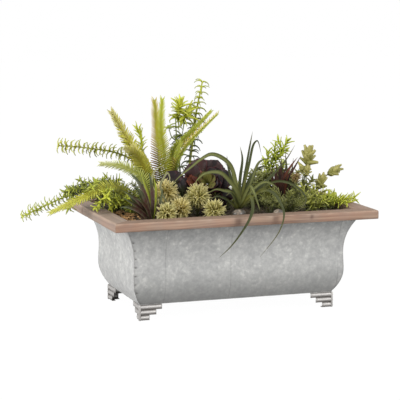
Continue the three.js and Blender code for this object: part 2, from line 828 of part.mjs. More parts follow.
function mossBed() {
  const lowOut = wallOutAt(mossBottom) - 2 * SHEET - SIDE_GAP;
  const ring = (x, y, z) => (
    [[x, y], [-x, y], [-x, -y], [x, -y]].map(([a, b]) => new THREE.Vector3(a, b, z))
  );
  const low = ring(BASE_LENGTH / 2 + lowOut, BASE_DEPTH / 2 + lowOut, mossBottom);
  const high = ring(innerHalfLength - SIDE_GAP, innerHalfDepth - SIDE_GAP, mossTop);
  const bed = loft([low, high], [[0, 1, 2], [0, 2, 3]]);
  const sockets = plants.map(({ root: [x, y, radius] }) => uprightCylinder(
    x * PLANT_GRID,
    y * PLANT_GRID,
    mossTop - PEG_DEPTH - SEAT_GAP,
    mossTop + SEAT_GAP,
    radius * PLANT_GRID + HOLE_GAP,
    PEG_SIDES,
  ));
  return cutFrom(bed, sockets);
}

const behindFrontRail = (distance) => distance * PLANT_GRID - innerHalfDepth;
const besideLeftRail = (distance) => distance * PLANT_GRID - innerHalfLength;

const dressing = [
  {
    name: 'pebble_left',
    material: stone,
    place: [-6 * PLANT_GRID, behindFrontRail(20.5)],
    size: [17, 14, 10],
  },
  {
    name: 'pebble_right',
    material: stone,
    place: [88 * PLANT_GRID, behindFrontRail(16.5)],
    size: [13, 12, 8],
  },
  {
    name: 'wood_chip_corner',
    material: bark,
    place: [besideLeftRail(24), behindFrontRail(16.5)],
    size: [20, 8, 6],
  },
  {
    name: 'wood_chip_side',
    material: bark,
    place: [besideLeftRail(14), -92 * PLANT_GRID],
    size: [9, 20, 6],
  },
];

function roundedLump(size) {
  const geometry = new THREE.IcosahedronGeometry(1, 1);
  geometry.scale(...size.map((half) => half * PLANT_GRID));
  return geometry;
}

// Assembly
function placed(name, geometry, material, x = 0, y = 0, z = 0, turn = 0) {
  const mesh = new THREE.Mesh(geometry, material);
  mesh.name = name;
  mesh.position.set(x, y, z);
  mesh.rotation.z = turn;
  return mesh;
}

function tinBody() {
  const group = new THREE.Group();
  const long = longWall();
  const end = endWall();
  group.add(
    placed('base_plate', basePlate(), galvanised),
    placed('front_wall', long, galvanised),
    placed('right_wall', end, galvanised, 0, 0, 0, Math.PI / 2),
    placed('back_wall', long, galvanised, 0, 0, 0, Math.PI),
    placed('left_wall', end, galvanised, 0, 0, 0, -Math.PI / 2),
  );
  return group;
}

function timberRim() {
  const group = new THREE.Group();
  const long = rail(BASE_LENGTH / 2, BASE_DEPTH / 2, SCREW_FROM_MIDDLE_LONG);
  const short = rail(BASE_DEPTH / 2, BASE_LENGTH / 2, SCREW_FROM_MIDDLE_SHORT);
  group.add(
    placed('front_rail', long, timber),
    placed('right_rail', short, timber, 0, 0, 0, Math.PI / 2),
    placed('back_rail', long, timber, 0, 0, 0, Math.PI),
    placed('left_rail', short, timber, 0, 0, 0, -Math.PI / 2),
  );
  return group;
}

function rimScrews() {
  const group = new THREE.Group();
  const across = BASE_DEPTH / 2 + screwOut;
  const along = BASE_LENGTH / 2 + screwOut;
  const places = [
    ['front_left', -SCREW_FROM_MIDDLE_LONG, -across],
    ['front_right', SCREW_FROM_MIDDLE_LONG, -across],
    ['back_left', -SCREW_FROM_MIDDLE_LONG, across],
    ['back_right', SCREW_FROM_MIDDLE_LONG, across],
    ['left_front', -along, -SCREW_FROM_MIDDLE_SHORT],
    ['left_back', -along, SCREW_FROM_MIDDLE_SHORT],
    ['right_front', along, -SCREW_FROM_MIDDLE_SHORT],
    ['right_back', along, SCREW_FROM_MIDDLE_SHORT],
  ];
  const shape = screw();
  places.forEach(([name, x, y]) => group.add(placed(`rim_screw_${name}`, shape, brightMetal, x, y)));
  return group;
}

function feetAndRivets() {
  const group = new THREE.Group();
  const footShape = foot();
  const rivetShape = rivet();
  const corners = [
    ['front_left', -1, -1, 0],
    ['front_right', 1, -1, Math.PI / 2],
    ['back_right', 1, 1, Math.PI],
    ['back_left', -1, 1, -Math.PI / 2],
  ];
  corners.forEach(([name, sideX, sideY, turn]) => {
    const x = sideX * footCorner.x;
    const y = sideY * footCorner.y;
    group.add(placed(`foot_${name}`, footShape, brightMetal, x, y, 0, turn));
    rivetPlaces.forEach((place) => group.add(placed(
      `rivet_${name}_${place.name}`,
      rivetShape,
      brightMetal,
      sideX * place.x,
      sideY * place.y,
    )));
  });
  return group;
}

function planting() {
  const group = new THREE.Group();
  group.add(placed('foam_block', foamBlock(), foam), placed('moss_bed', mossBed(), moss));
  plants.forEach(({ name, root, material, pieces }) => {
    const [x, y, radius] = root;
    const shape = joined([peg(x, y, radius), ...pieces()]);
    group.add(placed(name, shape, material, 0, 0, mossTop + SEAT_GAP));
  });
  dressing.forEach(({ name, material, place: [x, y], size }) => {
    const height = mossTop + SEAT_GAP + size[2] * PLANT_GRID;
    group.add(placed(name, roundedLump(size), material, x, y, height));
  });
  return group;
}

const planter = new THREE.Group();
planter.add(tinBody(), timberRim(), rimScrews(), feetAndRivets(), planting());

const reach = new THREE.Box3().setFromObject(planter);
const middle = reach.getCenter(new THREE.Vector3());
planter.position.set(-middle.x, -middle.y, -reach.min.z);

export default planter;
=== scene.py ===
import json
import math
import random

import bmesh
import bpy
from mathutils import Matrix, Vector, noise

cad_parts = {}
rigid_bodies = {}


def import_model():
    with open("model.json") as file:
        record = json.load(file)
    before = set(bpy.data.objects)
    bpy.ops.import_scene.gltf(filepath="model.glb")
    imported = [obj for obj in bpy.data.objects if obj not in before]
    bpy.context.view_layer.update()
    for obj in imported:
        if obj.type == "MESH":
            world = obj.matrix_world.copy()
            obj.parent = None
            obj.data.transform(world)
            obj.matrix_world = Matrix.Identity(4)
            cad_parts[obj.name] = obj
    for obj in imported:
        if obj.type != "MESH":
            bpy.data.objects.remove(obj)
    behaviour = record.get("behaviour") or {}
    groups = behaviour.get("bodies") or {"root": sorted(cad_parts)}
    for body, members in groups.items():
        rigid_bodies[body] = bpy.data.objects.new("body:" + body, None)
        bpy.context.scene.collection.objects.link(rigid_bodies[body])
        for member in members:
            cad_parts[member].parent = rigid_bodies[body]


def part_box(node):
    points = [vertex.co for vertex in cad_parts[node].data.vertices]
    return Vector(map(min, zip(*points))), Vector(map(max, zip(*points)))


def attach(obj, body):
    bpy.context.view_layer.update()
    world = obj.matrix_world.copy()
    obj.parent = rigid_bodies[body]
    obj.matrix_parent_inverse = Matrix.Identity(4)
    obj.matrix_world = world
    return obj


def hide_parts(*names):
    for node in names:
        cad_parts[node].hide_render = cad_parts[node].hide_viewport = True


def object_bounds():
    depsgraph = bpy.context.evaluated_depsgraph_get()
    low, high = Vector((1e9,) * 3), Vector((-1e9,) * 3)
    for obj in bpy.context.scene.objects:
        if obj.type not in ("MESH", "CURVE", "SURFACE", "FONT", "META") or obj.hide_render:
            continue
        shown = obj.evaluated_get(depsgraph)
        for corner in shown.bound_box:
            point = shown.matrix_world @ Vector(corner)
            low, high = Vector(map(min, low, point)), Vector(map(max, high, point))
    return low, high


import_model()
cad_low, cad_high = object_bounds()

MM = 0.001

# The planter's own frame: the middle of the base plate, on its underside.
plate_low, plate_high = (Vector(corner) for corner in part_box("base_plate"))
HOME = Vector(((plate_low.x + plate_high.x) / 2, (plate_low.y + plate_high.y) / 2, plate_low.z))
HALF_LENGTH = (plate_high.x - plate_low.x) / 2
HALF_DEPTH = (plate_high.y - plate_low.y) / 2

# Tin body
SHEET = 0.8 * MM
SEAT_GAP = 0.3 * MM
TIN_HEIGHT = 174 * MM
BELLY_OUT, BELLY_HEIGHT = 20 * MM, 55 * MM
WAIST_OUT, WAIST_HEIGHT = 18.7 * MM, 95 * MM
MOUTH_OUT = 43 * MM
FLOOR_FLANGE = 12 * MM
RIM_FLANGE = 18 * MM
WALL_BOTTOM = SHEET + SEAT_GAP
WALL_TOP = TIN_HEIGHT - SHEET
CRIMP_SPACING = 18.6 * MM
CRIMP_INSET = 4.2 * MM
CRIMP_DEPTH = 1.1 * MM
CRIMP_RADIUS = 2.2 * MM
FIRST_CRIMP, CRIMPS_START, CRIMPS_END = 30 * MM, 26 * MM, WALL_TOP - 14 * MM
FOLD_LINE, FOLD_WIDTH = 1.8 * MM, 1.3 * MM
SEAM_PLACES = (-174 * MM, -24 * MM, 232 * MM)
SEAM_WIDTH = 1.6 * MM
END_ZONE = 14 * MM

# Timber rim: a knot is its place along the rail, its share of the height and its radius.
RIM_OVERHANG = 34.5 * MM
RAIL_WIDTH = 40 * MM
RAIL_THICKNESS = 19 * MM
RAIL_ROUNDING = 3.5 * MM
CORNER_ROUNDING = 4.5 * MM
EDGE_WEAR = 1.2 * MM
RAIL_BOTTOM = TIN_HEIGHT + SEAT_GAP
RAIL_TOP = RAIL_BOTTOM + RAIL_THICKNESS
RAIL_OUT = MOUTH_OUT + RIM_OVERHANG
RAIL_IN = RAIL_OUT - RAIL_WIDTH
MITRE_TRIM = SEAT_GAP / math.sqrt(2)
KNOT_DEPTH = 6 * MM
RAIL_GREY = (0.1, 0.35, 0.3, 0.55)
KNOTS = (
    ((-30 * MM, 0.6, 4.6 * MM), (57 * MM, 0.7, 3.6 * MM), (142 * MM, 0.7, 2.4 * MM)),
    ((30 * MM, 0.5, 3 * MM),),
    ((-120 * MM, 0.45, 3.6 * MM), (76 * MM, 0.6, 3 * MM)),
    ((-64 * MM, 0.5, 2.8 * MM),),
)

# Pressed feet
FOOT_SHEET = 1.2 * MM
RIB_HEIGHT = 11.5 * MM
RIB_BULGE = 3.8 * MM
RIB_LENGTHS = (50 * MM, 37 * MM, 21.5 * MM)
FOOT_FLANGE = 14 * MM
SOLE_WIDTH = 8 * MM
FOOT_INSET = 1 * MM
POST_WIDTH, POST_ROUNDING = 5.2 * MM, 1.6 * MM

# Planting: points are in millimetres from the planter's middle and up from the moss.
BED_LOW, BED_HIGH = (Vector(corner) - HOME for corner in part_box("moss_bed"))
PLANT_FLOOR = BED_HIGH.z + SEAT_GAP
RIM_FRONT = -(HALF_DEPTH + RAIL_OUT) / MM
RIM_TOP = (RAIL_TOP - PLANT_FLOOR) / MM
TO_VIEWER = Vector((-0.35, -0.93, 0.15)).normalized()
UP = Vector((0, 0, 1))
GOLDEN_TURN = 2.39996

# How high the moss swells and how deep it starts, in millimetres, and its underside's share of its size
MOSS_LUMPS, MOSS_SUNK, MOSS_TAPER = 2.6, 1.0, 0.93

# The share of a sedum ball that its core takes, leaf shapes' lengths in millimetres, and the share of a
# rosette leaf's length at which it starts to round off
BALL_CORE = 0.34
STAR_LEAF, BUD_LEAF = 12, 15
ROSETTE_ROUND_OFF = 0.72


def as_object(name, data):
    thing = bpy.data.objects.new(name, data)
    bpy.context.scene.collection.objects.link(thing)
    return thing


# Camera and lamps
def aim(thing, place, direction, roll=0.0):
    right = direction.cross(UP).normalized()
    up = right.cross(direction).normalized()
    turned = math.cos(roll) * right + math.sin(roll) * up
    upward = math.cos(roll) * up - math.sin(roll) * right
    axes = Matrix((turned, upward, -direction)).transposed()
    thing.matrix_world = Matrix.Translation(place) @ axes.to_4x4()


def make_camera(turn, rise, roll, distance, lens):
    data = bpy.data.cameras.new("camera")
    data.lens = lens
    data.sensor_width = 36
    data.clip_start, data.clip_end = 0.1, 100
    camera = as_object("camera", data)
    turn, rise, roll = math.radians(turn), math.radians(rise), math.radians(roll)
    forward = Vector((math.sin(turn) * math.cos(rise), math.cos(turn) * math.cos(rise), -math.sin(rise)))
    target = HOME + Vector((-0.047, 0, 0.2046))
    aim(camera, target - distance * forward, forward, roll)
    bpy.context.scene.camera = camera


def make_lamp(name, place, width, height, watts):
    data = bpy.data.lights.new(name, "AREA")
    data.shape = "RECTANGLE"
    data.size, data.size_y, data.energy = width, height, watts
    start = Vector(place)
    aim(as_object(name, data), start, (Vector((0, 0, 0.2)) - start).normalized())


# Node trees
def set_stops(ramp, stops):
    while len(ramp.elements) > 1:
        ramp.elements.remove(ramp.elements[-1])
    ramp.elements[0].position = stops[0][0]
    for i, (position, *shade) in enumerate(stops):
        element = ramp.elements.new(position) if i else ramp.elements[0]
        element.color = tone(*shade)


class Wire:
    """A socket of a node tree. Arithmetic adds Math nodes, and node() adds any other node."""

    def __init__(self, tree, socket=None):
        self.tree, self.socket = tree, socket

    def node(self, kind, inputs=(), output=0, **settings):
        made = self.tree.nodes.new(kind)
        for name, value in settings.items():
            if name == "stops":
                set_stops(made.color_ramp, value)
            else:
                setattr(made, name, value)
        for key, value in inputs.items() if isinstance(inputs, dict) else enumerate(inputs):
            for item in value if isinstance(value, list) else [value]:
                if isinstance(item, Wire):
                    self.tree.links.new(item.socket, made.inputs[key])
                else:
                    made.inputs[key].default_value = item
        return Wire(self.tree, made.outputs[output]) if len(made.outputs) else None

    def __getitem__(self, output):
        """Another output of the same node."""
        return Wire(self.tree, self.socket.node.outputs[output])

    def maths(self, operation, first, second=0.0):
        return self.node("ShaderNodeMath", (first, second), operation=operation)

    def __add__(self, other):
        return self.maths("ADD", self, other)

    def __sub__(self, other):
        return self.maths("SUBTRACT", self, other)

    def __rsub__(self, other):
        return self.maths("SUBTRACT", other, self)

    def __mul__(self, other):
        return self.maths("MULTIPLY", self, other)

    __radd__, __rmul__ = __add__, __mul__

    def at_least(self, other):
        return self.maths("MAXIMUM", self, other)

    def at_most(self, other):
        return self.maths("MINIMUM", self, other)

    def over(self, low, high, start=0.0, end=1.0):
        """This value, carried from the range low to high onto start to end, and held there."""
        return self.node("ShaderNodeMapRange", (self, low, high, start, end), clamp=True)


# Patterns and colours that several finishes share
def own_place(tree):
    return tree.node("ShaderNodeTexCoord", output="Object")


def field(tree, name, output="Fac"):
    return tree.node("ShaderNodeAttribute", output=output, attribute_name=name)


def clouds(vector, scale, detail=3.0, roughness=0.5, bend=0.0):
    values = {"Vector": vector, "Scale": scale, "Detail": detail, "Roughness": roughness, "Distortion": bend}
    return vector.node("ShaderNodeTexNoise", values)


def cells(vector, scale, output="Distance"):
    return vector.node("ShaderNodeTexVoronoi", {"Vector": vector, "Scale": scale}, output)


def stretched(vector, scale):
    return vector.node("ShaderNodeMapping", {"Vector": vector, "Scale": scale})


def bent(vector, pattern, amount):
    push = vector.node("ShaderNodeVectorMath", (pattern["Color"], amount), operation="MULTIPLY")
    return vector.node("ShaderNodeVectorMath", (vector, push), operation="ADD")


def packed(x, y, z):
    return x.node("ShaderNodeCombineXYZ", (x, y, z))


def tone(red, green, blue):
    """A colour as seen on a screen, 0 to 255, in Blender's linear values."""
    shares = [value / 255 for value in (red, green, blue)]
    return (*(s / 12.92 if s <= 0.04045 else ((s + 0.055) / 1.055) ** 2.4 for s in shares), 1.0)


def grey(level):
    return (level, level, level, 1.0)


def mixed(factor, first, second):
    return factor.node("ShaderNodeMix", {0: factor, 6: first, 7: second}, 2, data_type="RGBA")


def layered(color, *layers):
    """The colour under a row of tones, each laid on by its share."""
    for share, *shade in layers:
        color = mixed(share, color, tone(*shade))
    return color


def ramped(factor, *stops):
    return factor.node("ShaderNodeValToRGB", (factor,), stops=stops)


def bumped(height, strength, depth, below=None):
    values = {"Height": height, "Strength": strength, "Distance": depth}
    if below:
        values["Normal"] = below
    return height.node("ShaderNodeBump", values)


def surface(color, roughness, normal, **others):
    return {"Base Color": color, "Roughness": roughness, "Normal": normal, **others}


def finish(name, paint, *values):
    """A material whose paint function gives a shader, or the sockets of the usual one."""
    material = bpy.data.materials.new(name)
    material.use_nodes = True
    material.node_tree.nodes.clear()
    tree = Wire(material.node_tree)
    shader = paint(tree, *values)
    if isinstance(shader, dict):
        shader = tree.node("ShaderNodeBsdfPrincipled", shader)
    tree.node("ShaderNodeOutputMaterial", (shader,))
    return material


# Finishes of the planter and its bed
def galvanised(tree):
    place = own_place(tree)
    flakes = cells(bent(place, clouds(place, 80, 2), (0.01, 0.01, 0.01)), 120, "Color")
    small, soft, wide = clouds(place, 150, 3, 0.6), clouds(place, 62, 3, 0.6), clouds(place, 9, 2)
    spangle = (flakes * 0.14 + small * 0.4 + soft * 0.44 + wide * 0.22).over(0.46, 0.76)
    streaks = clouds(stretched(place, (1, 1, 0.16)), 70, 3, 0.6).over(0.55, 0.8)
    x = place.node("ShaderNodeSeparateXYZ", (place,))
    off = [x.maths("ABSOLUTE", x - (HOME.x + seam)) for seam in SEAM_PLACES]
    lines = 1 - off[0].at_most(off[1]).at_most(off[2]).over(0.3 * MM, SEAM_WIDTH)
    seams = lines * field(tree, "seamed") * clouds(place, 22, 2).over(0.38, 0.58, 0.35, 1.0)
    color = layered(
        ramped(spangle, (0.0, 167, 167, 166), (0.45, 182, 182, 180), (0.8, 196, 196, 193), (1.0, 212, 211, 207)),
        (streaks * 0.1, 232, 232, 229),
        # Painted shade: darker towards the foot of the walls, fully on the front and back and less on the ends.
        (field(tree, "patina") * 0.62, 130, 130, 128),
        (seams * 0.28, 84, 82, 80),
        # Painted shade in the dents of the crimps, and a painted shadow line along each corner fold.
        (field(tree, "crimp").at_most(1.0) * 0.85, 74, 72, 70),
    )
    waves = bumped(clouds(place, 14, 1), 0.25, 0.004)
    normal = bumped(spangle - seams, 0.12, 0.0012, waves)
    return surface(color, spangle.over(0, 1, 0.5, 0.38), normal, Metallic=0.12)


def rubbed_metal(tree, bright, stained_and_shaded, roughness, metallic):
    place = own_place(tree)
    rubbed = clouds(place, 240, 3, 0.6)
    stain = clouds(place, 45, 3, 0.6).over(0.5, 0.85) * 0.35
    # Darker for real stains, and for the painted shade that the feet carry in their rib grooves and beside their
    # corner posts.
    color = mixed(stain.at_least(field(tree, "tarnish")), tone(*bright), tone(*stained_and_shaded))
    rough = rubbed.over(0.3, 0.7, roughness, roughness + 0.1)
    return surface(color, rough, bumped(rubbed, 0.05, 0.0004), Metallic=metallic)


def timber(tree):
    """The field "grain" holds a board's own length, width and height directions."""
    board = field(tree, "grain", "Vector")
    along = bent(board, clouds(stretched(board, (2.2, 9, 9)), 1.0, 2), (0, 0.03, 0.03))
    rings = clouds(stretched(along, (1.6, 190, 190)), 1.0, 3, 0.6)
    fibre = clouds(stretched(along, (9, 900, 900)), 1.0, 3, 0.7)
    patches = clouds(stretched(along, (7, 30, 30)), 1.0, 3)
    stops = ((0.0, 110, 84, 68), (0.35, 144, 112, 92), (0.65, 166, 134, 111), (1.0, 186, 154, 130))
    color = layered(
        ramped(rings.over(0.3, 0.7), *stops),
        (fibre.over(0.5, 0.75) * 0.45, 118, 94, 82),
        (patches.over(0.45, 0.7) * 0.5, 178, 128, 104),
        (clouds(board, 16, 3, 0.6).over(0.42, 0.7) * 0.4, 158, 146, 136),
        (field(tree, "grey"), 150, 138, 128),
        (field(tree, "topside") * 0.75, 118, 97, 80),
        (field(tree, "worn") * 0.42, 192, 172, 152),
        (field(tree, "knot").at_most(1.0) * 0.8, 88, 62, 50),
    )
    return surface(color, fibre.over(0.3, 0.8, 0.66, 0.85), bumped(rings * 0.6 + fibre * 0.4, 0.5, 0.0011))


def foam(tree):
    pores = cells(own_place(tree), 900)
    return surface(mixed(pores.over(0.1, 0.6), tone(58, 70, 40), tone(92, 104, 66)), 0.95, bumped(pores, 0.6, 0.001))


def moss(tree):
    place = own_place(tree)
    clumps = clouds(place, 90, 5, 0.7)
    color = layered(
        ramped(clumps.over(0.3, 0.7), (0.0, 26, 20, 15), (0.5, 58, 46, 32), (0.8, 92, 76, 52), (1.0, 122, 104, 76)),
        (clouds(place, 18, 3, 0.6).over(0.5, 0.62) * 0.7, 64, 72, 36),
        (field(tree, "shade").over(0.6, 1.0) * 0.6, 128, 104, 76),
    )
    return surface(color, 0.95, bumped(clumps, 0.8, 0.004))


def pebble_stone(tree):
    place = own_place(tree)
    grit = clouds(place, 900, 2, 0.6)
    spots = clouds(place, 60, 4, 0.6, 0.6).over(0.3, 0.7)
    base = ramped(spots, (0.0, 58, 55, 52), (0.6, 96, 88, 80), (1.0, 168, 152, 132))
    return surface(layered(base, (grit.over(0.55, 0.75) * 0.4, 132, 126, 120)), 0.28, bumped(grit, 0.12, 0.0006))


def chipped_wood(tree):
    fibres = clouds(stretched(own_place(tree), (120, 420, 420)), 1.0, 4, 0.7)
    base = ramped(fibres.over(0.3, 0.7), (0.0, 104, 74, 44), (0.5, 178, 134, 82), (1.0, 220, 184, 130))
    return surface(layered(base, (field(tree, "shade") * 0.5, 118, 82, 50)), 0.85, bumped(fibres, 0.7, 0.001))


# Finishes of the plants. The fields: "along" runs from a stem's or blade's foot to its tip, "tip" from
# a leaf's foot to its tip, "across" from a blade's middle to its edge, and "shade" differs from leaf to leaf.
def foliage_paint(tree, stops, leaf_foot, leaf_tip, foot_share, tip_share, roughness=0.5):
    along, tip, shade = (field(tree, name) for name in ("along", "tip", "shade"))
    mottle = clouds(own_place(tree), 420, 2, 0.6)
    color = layered(
        ramped(along + shade * 0.24 - 0.12, *stops),
        ((1 - tip).over(0.5, 1.0) * foot_share, *leaf_foot),
        (tip.over(0.35, 1.0) * (shade * 0.6 + 0.4) * tip_share, *leaf_tip),
        (mottle.over(0.5, 0.75) * 0.2, *stops[0][1:]),
    )
    return surface(color, mottle.over(0.3, 0.7, roughness - 0.06, roughness + 0.08), bumped(mottle, 0.12, 0.0008))


def blade_paint(tree, stops, edge, stripe, bloom, roughness):
    """Blades with a coloured foot, lengthwise veins, paler edges and a dusty bloom."""
    along, across, shade = (field(tree, name) for name in ("along", "across", "shade"))
    lines = clouds(packed(across * 9, along * 1.5, shade * 40), 1.6, 2, 0.6)
    dust = clouds(own_place(tree), 160, 4, 0.65).over(0.45, 0.75)
    color = layered(
        ramped(along + lines * 0.12 - 0.06, *stops),
        (shade.over(0.9, 0.92) * (1 - across.over(0.3, 0.95)), *stripe),
        (across.over(0.7, 1.0) * 0.55, *edge),
        (lines.over(0.5, 0.7) * 0.3, 34, 46, 34),
        (dust * 0.4, *bloom),
    )
    rough = dust.over(0, 1, roughness - 0.08, roughness + 0.12)
    return {**surface(color, rough, bumped(lines, 0.25, 0.0008)), "Specular IOR Level": 0.28}


def rosette_paint(tree):
    along, across, shade = (field(tree, name) for name in ("along", "across", "shade"))
    wash = clouds(own_place(tree), 30, 3, 0.6)
    veins = clouds(packed(across * 6, along * 2, shade * 30), 1.8)
    stops = ((0.0, 12, 9, 10), (0.3, 26, 14, 15), (0.55, 48, 23, 20), (0.75, 84, 40, 26), (0.95, 142, 76, 42))
    color = layered(
        ramped(shade * 0.8 + wash * 0.4 - 0.1, *stops),
        (shade.over(1.0, 1.2), 100, 98, 44),
        (veins.over(0.45, 0.7) * 0.45, 40, 26, 30),
        (across.over(0.8, 1.0) * 0.45, 98, 44, 50),
        ((1 - along).over(0.6, 1.0) * 0.6, 66, 74, 42),
    )
    rough = wash.over(0.3, 0.7, 0.4, 0.55)
    return {**surface(color, rough, bumped(veins, 0.3, 0.001)), "Specular IOR Level": 0.25}


# The floor and the room show white to the camera and in reflections, and light the planter softly.
def seen_directly(tree):
    path = tree.node("ShaderNodeLightPath")
    return path.at_least(path["Is Glossy Ray"]).at_least(path["Is Transmission Ray"])


def studio_floor(tree):
    speckle = clouds(own_place(tree), 3, 2).over(0.3, 0.7)
    color = mixed(seen_directly(tree), mixed(speckle, grey(0.17), grey(0.19)), grey(0.96))
    lit = tree.node("ShaderNodeBsdfDiffuse", {"Color": color})
    bright = tree.node("ShaderNodeEmission", {"Color": grey(1.0), "Strength": 1.02})
    return tree.node("ShaderNodeMixShader", (seen_directly(tree) * 0.965, lit, bright))


def make_studio():
    world = bpy.data.worlds.new("studio")
    world.use_nodes = True
    world.node_tree.nodes.clear()
    bpy.context.scene.world = world
    bpy.context.scene.view_settings.view_transform = "Standard"
    room = Wire(world.node_tree)
    strength = seen_directly(room).over(0, 1, 0.5, 1.0)
    sky = room.node("ShaderNodeBackground", {"Color": grey(1.0), "Strength": strength})
    room.node("ShaderNodeOutputWorld", (sky,))
    make_lamp("key", (-3.2, -0.9, 1.25), width=1.8, height=1.8, watts=110)
    make_lamp("front_fill", (1.7, -2.6, 1.35), width=2.0, height=1.5, watts=62)
    make_lamp("top", (0.3, 0.6, 3.0), width=2.4, height=1.6, watts=13)
    form = Form()
    form.add([(x, y, cad_low[2] - 0.5 * MM) for x, y in ((-9, -9), (9, -9), (9, 9), (-9, 9))], [(0, 1, 2, 3)])
    ground = as_object("studio_floor", form.mesh("studio_floor"))
    ground.data.materials.append(finish("studio_floor", studio_floor))


# Meshes
def add_fields(mesh, fields):
    for name, values in fields.items():
        vector = hasattr(values[0], "__len__")
        made = mesh.attributes.new(name, "FLOAT_VECTOR" if vector else "FLOAT", "POINT")
        flat = [number for value in values for number in value] if vector else values
        made.data.foreach_set("vector" if vector else "value", flat)


class Form:
    """Vertices, faces and per-vertex fields of one mesh, gathered part by part."""

    def __init__(self, *field_names):
        self.vertices, self.faces = [], []
        self.fields = {name: [] for name in field_names}

    def add(self, vertices, faces, **fields):
        start = len(self.vertices)
        self.vertices += vertices
        self.faces += [tuple(start + i for i in face) for face in faces]
        for name, values in self.fields.items():
            given = fields.get(name, 0.0)
            values += given if isinstance(given, list) else [given] * len(vertices)

    def face_outward(self):
        work = bmesh.new()
        made = [work.verts.new(v) for v in self.vertices]
        for face in self.faces:
            work.faces.new([made[i] for i in face])
        work.verts.index_update()
        bmesh.ops.recalc_face_normals(work, faces=work.faces[:])
        self.faces = [tuple(v.index for v in face.verts) for face in work.faces]
        work.free()

    def mesh(self, name, place=Vector(), edges=()):
        mesh = bpy.data.meshes.new(name)
        mesh.from_pydata([Vector(v) + place for v in self.vertices], edges, self.faces)
        add_fields(mesh, self.fields)
        return mesh


def keep(piece, slot, *nodes):
    """Puts a finished piece on the planter's one body, in place of its CAD nodes."""
    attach(piece, "root")
    if nodes:
        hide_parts(*nodes)


def finished(name, form, material, slot, *nodes, sharp=40):
    form.face_outward()
    mesh = form.mesh(name, HOME)
    mesh.materials.append(material)
    mesh.shade_smooth()
    mesh.set_sharp_from_angle(angle=math.radians(sharp))
    keep(as_object(name, mesh), slot, *nodes)


def closed_faces(rings, count, folded=False):
    """Faces between rings of points, and at both ends. A folded sheet's outline runs out and back."""
    faces = []
    for start in range(0, (rings - 1) * count, count):
        for i in range(count):
            a, b = start + i, start + (i + 1) % count
            faces.append((a, b, b + count, a + count))
    last = (rings - 1) * count
    if not folded:
        return [*faces, tuple(range(count))[::-1], tuple(range(last, last + count))]
    for i in range(count // 2 - 1):
        a, b, c, d = i, i + 1, count - 2 - i, count - 1 - i
        faces += [(a, d, c, b), (last + a, last + b, last + c, last + d)]
    return faces


# Profiles and curves
def bezier(a, b, c, d, steps):
    points = []
    for i in range(steps + 1):
        t = i / steps
        s = 1 - t
        weights = (s ** 3, 3 * s * s * t, 3 * s * t * t, t ** 3)
        points.append(tuple(sum(w * p[k] for w, p in zip(weights, (a, b, c, d))) for k in (0, 1)))
    return points


def wall_line(steps):
    """The ogee of a wall from its foot to its mouth, as distance out and height."""
    belly, waist, mouth = (BELLY_OUT, BELLY_HEIGHT), (WAIST_OUT, WAIST_HEIGHT), (MOUTH_OUT, WALL_TOP)
    rise, throat, flare = WAIST_HEIGHT - BELLY_HEIGHT, WALL_TOP - WAIST_HEIGHT, MOUTH_OUT - WAIST_OUT
    bends = (
        ((0, WALL_BOTTOM), (BELLY_OUT * 0.4, BELLY_HEIGHT * 0.22), (BELLY_OUT, BELLY_HEIGHT * 0.55), belly, steps),
        (belly, (BELLY_OUT, BELLY_HEIGHT + rise * 0.4), (WAIST_OUT, WAIST_HEIGHT - rise * 0.4), waist, steps),
        (waist, (WAIST_OUT, WAIST_HEIGHT + throat * 0.38),
         (WAIST_OUT + flare * 0.34, WAIST_HEIGHT + throat * 0.7), mouth, steps * 3 // 2),
    )
    lines = [bezier(*bend) for bend in bends]
    return lines[0] + lines[1][1:] + lines[2][1:]


def thickened(line, thickness):
    """The line, then its copy set off to the left by the thickness, in reverse."""
    points = [Vector(point) for point in line]
    inner = []
    for i, point in enumerate(points):
        ahead = points[min(i + 1, len(points) - 1)] - point
        behind = point - points[max(i - 1, 0)]
        first = (ahead if i == 0 else behind).normalized()
        second = (behind if i == len(points) - 1 else ahead).normalized()
        normal = Vector((-first.y - second.y, first.x + second.x)).normalized()
        share = normal.dot(Vector((-first.y, first.x)))
        inner.append(point + normal * (thickness / share))
    return points + inner[::-1]


def smooth_path(points, samples):
    """Points along a curve through the given ones, with the bends that the solids have."""
    points = [Vector(p) for p in points]
    ends = [points[0] * 2 - points[1], *points, points[-1] * 2 - points[-2]]
    path = []
    for i in range(len(points) - 1):
        p0, p1, p2, p3 = ends[i:i + 4]
        d0, d1, d2 = (max(math.sqrt((b - a).length), 1e-6) for a, b in ((p0, p1), (p1, p2), (p2, p3)))
        t1 = ((p1 - p0) / d0 - (p2 - p0) / (d0 + d1) + (p2 - p1) / d1) * d1
        t2 = ((p2 - p1) / d1 - (p3 - p1) / (d1 + d2) + (p3 - p2) / d2) * d1
        for k in range(samples):
            t = k / samples
            curve = (3 * (p2 - p1) - 2 * t1 - t2) * t * t + (2 * (p1 - p2) + t1 + t2) * t ** 3
            path.append(p1 + t1 * t + curve)
    return [*path, points[-1]]


def over_moss(point):
    x, y, z = point
    return Vector((x * MM, y * MM, PLANT_FLOOR + z * MM))


def moss_path(points, samples):
    return smooth_path([over_moss(point) for point in points], samples)


def turned(point, quarter):
    """A point of the front side, carried round to the right, back or left by quarter turns."""
    x, y, z = point
    for _ in range(quarter):
        x, y = -y, x
    return Vector((x, y, z))


# Tin walls
SIDES = ("front", "right", "back", "left")


def crimp_at(distance, height):
    """How deep the corner crimping presses the sheet, 0 to 1."""
    if distance > 4 * CRIMP_INSET or not CRIMPS_START < height < CRIMPS_END:
        return 0.0
    step = (height - FIRST_CRIMP) / CRIMP_SPACING
    off = (step - round(step)) * CRIMP_SPACING
    away = math.hypot(off, (distance - CRIMP_INSET) * 0.8)
    return math.exp(-((away / CRIMP_RADIUS) ** 2) * 1.4)


def fold_at(distance):
    """How near a place is to the painted shadow line where the end wall's lap turns in, 0 to 1."""
    return math.exp(-(((distance - FOLD_LINE) / FOLD_WIDTH) ** 2))


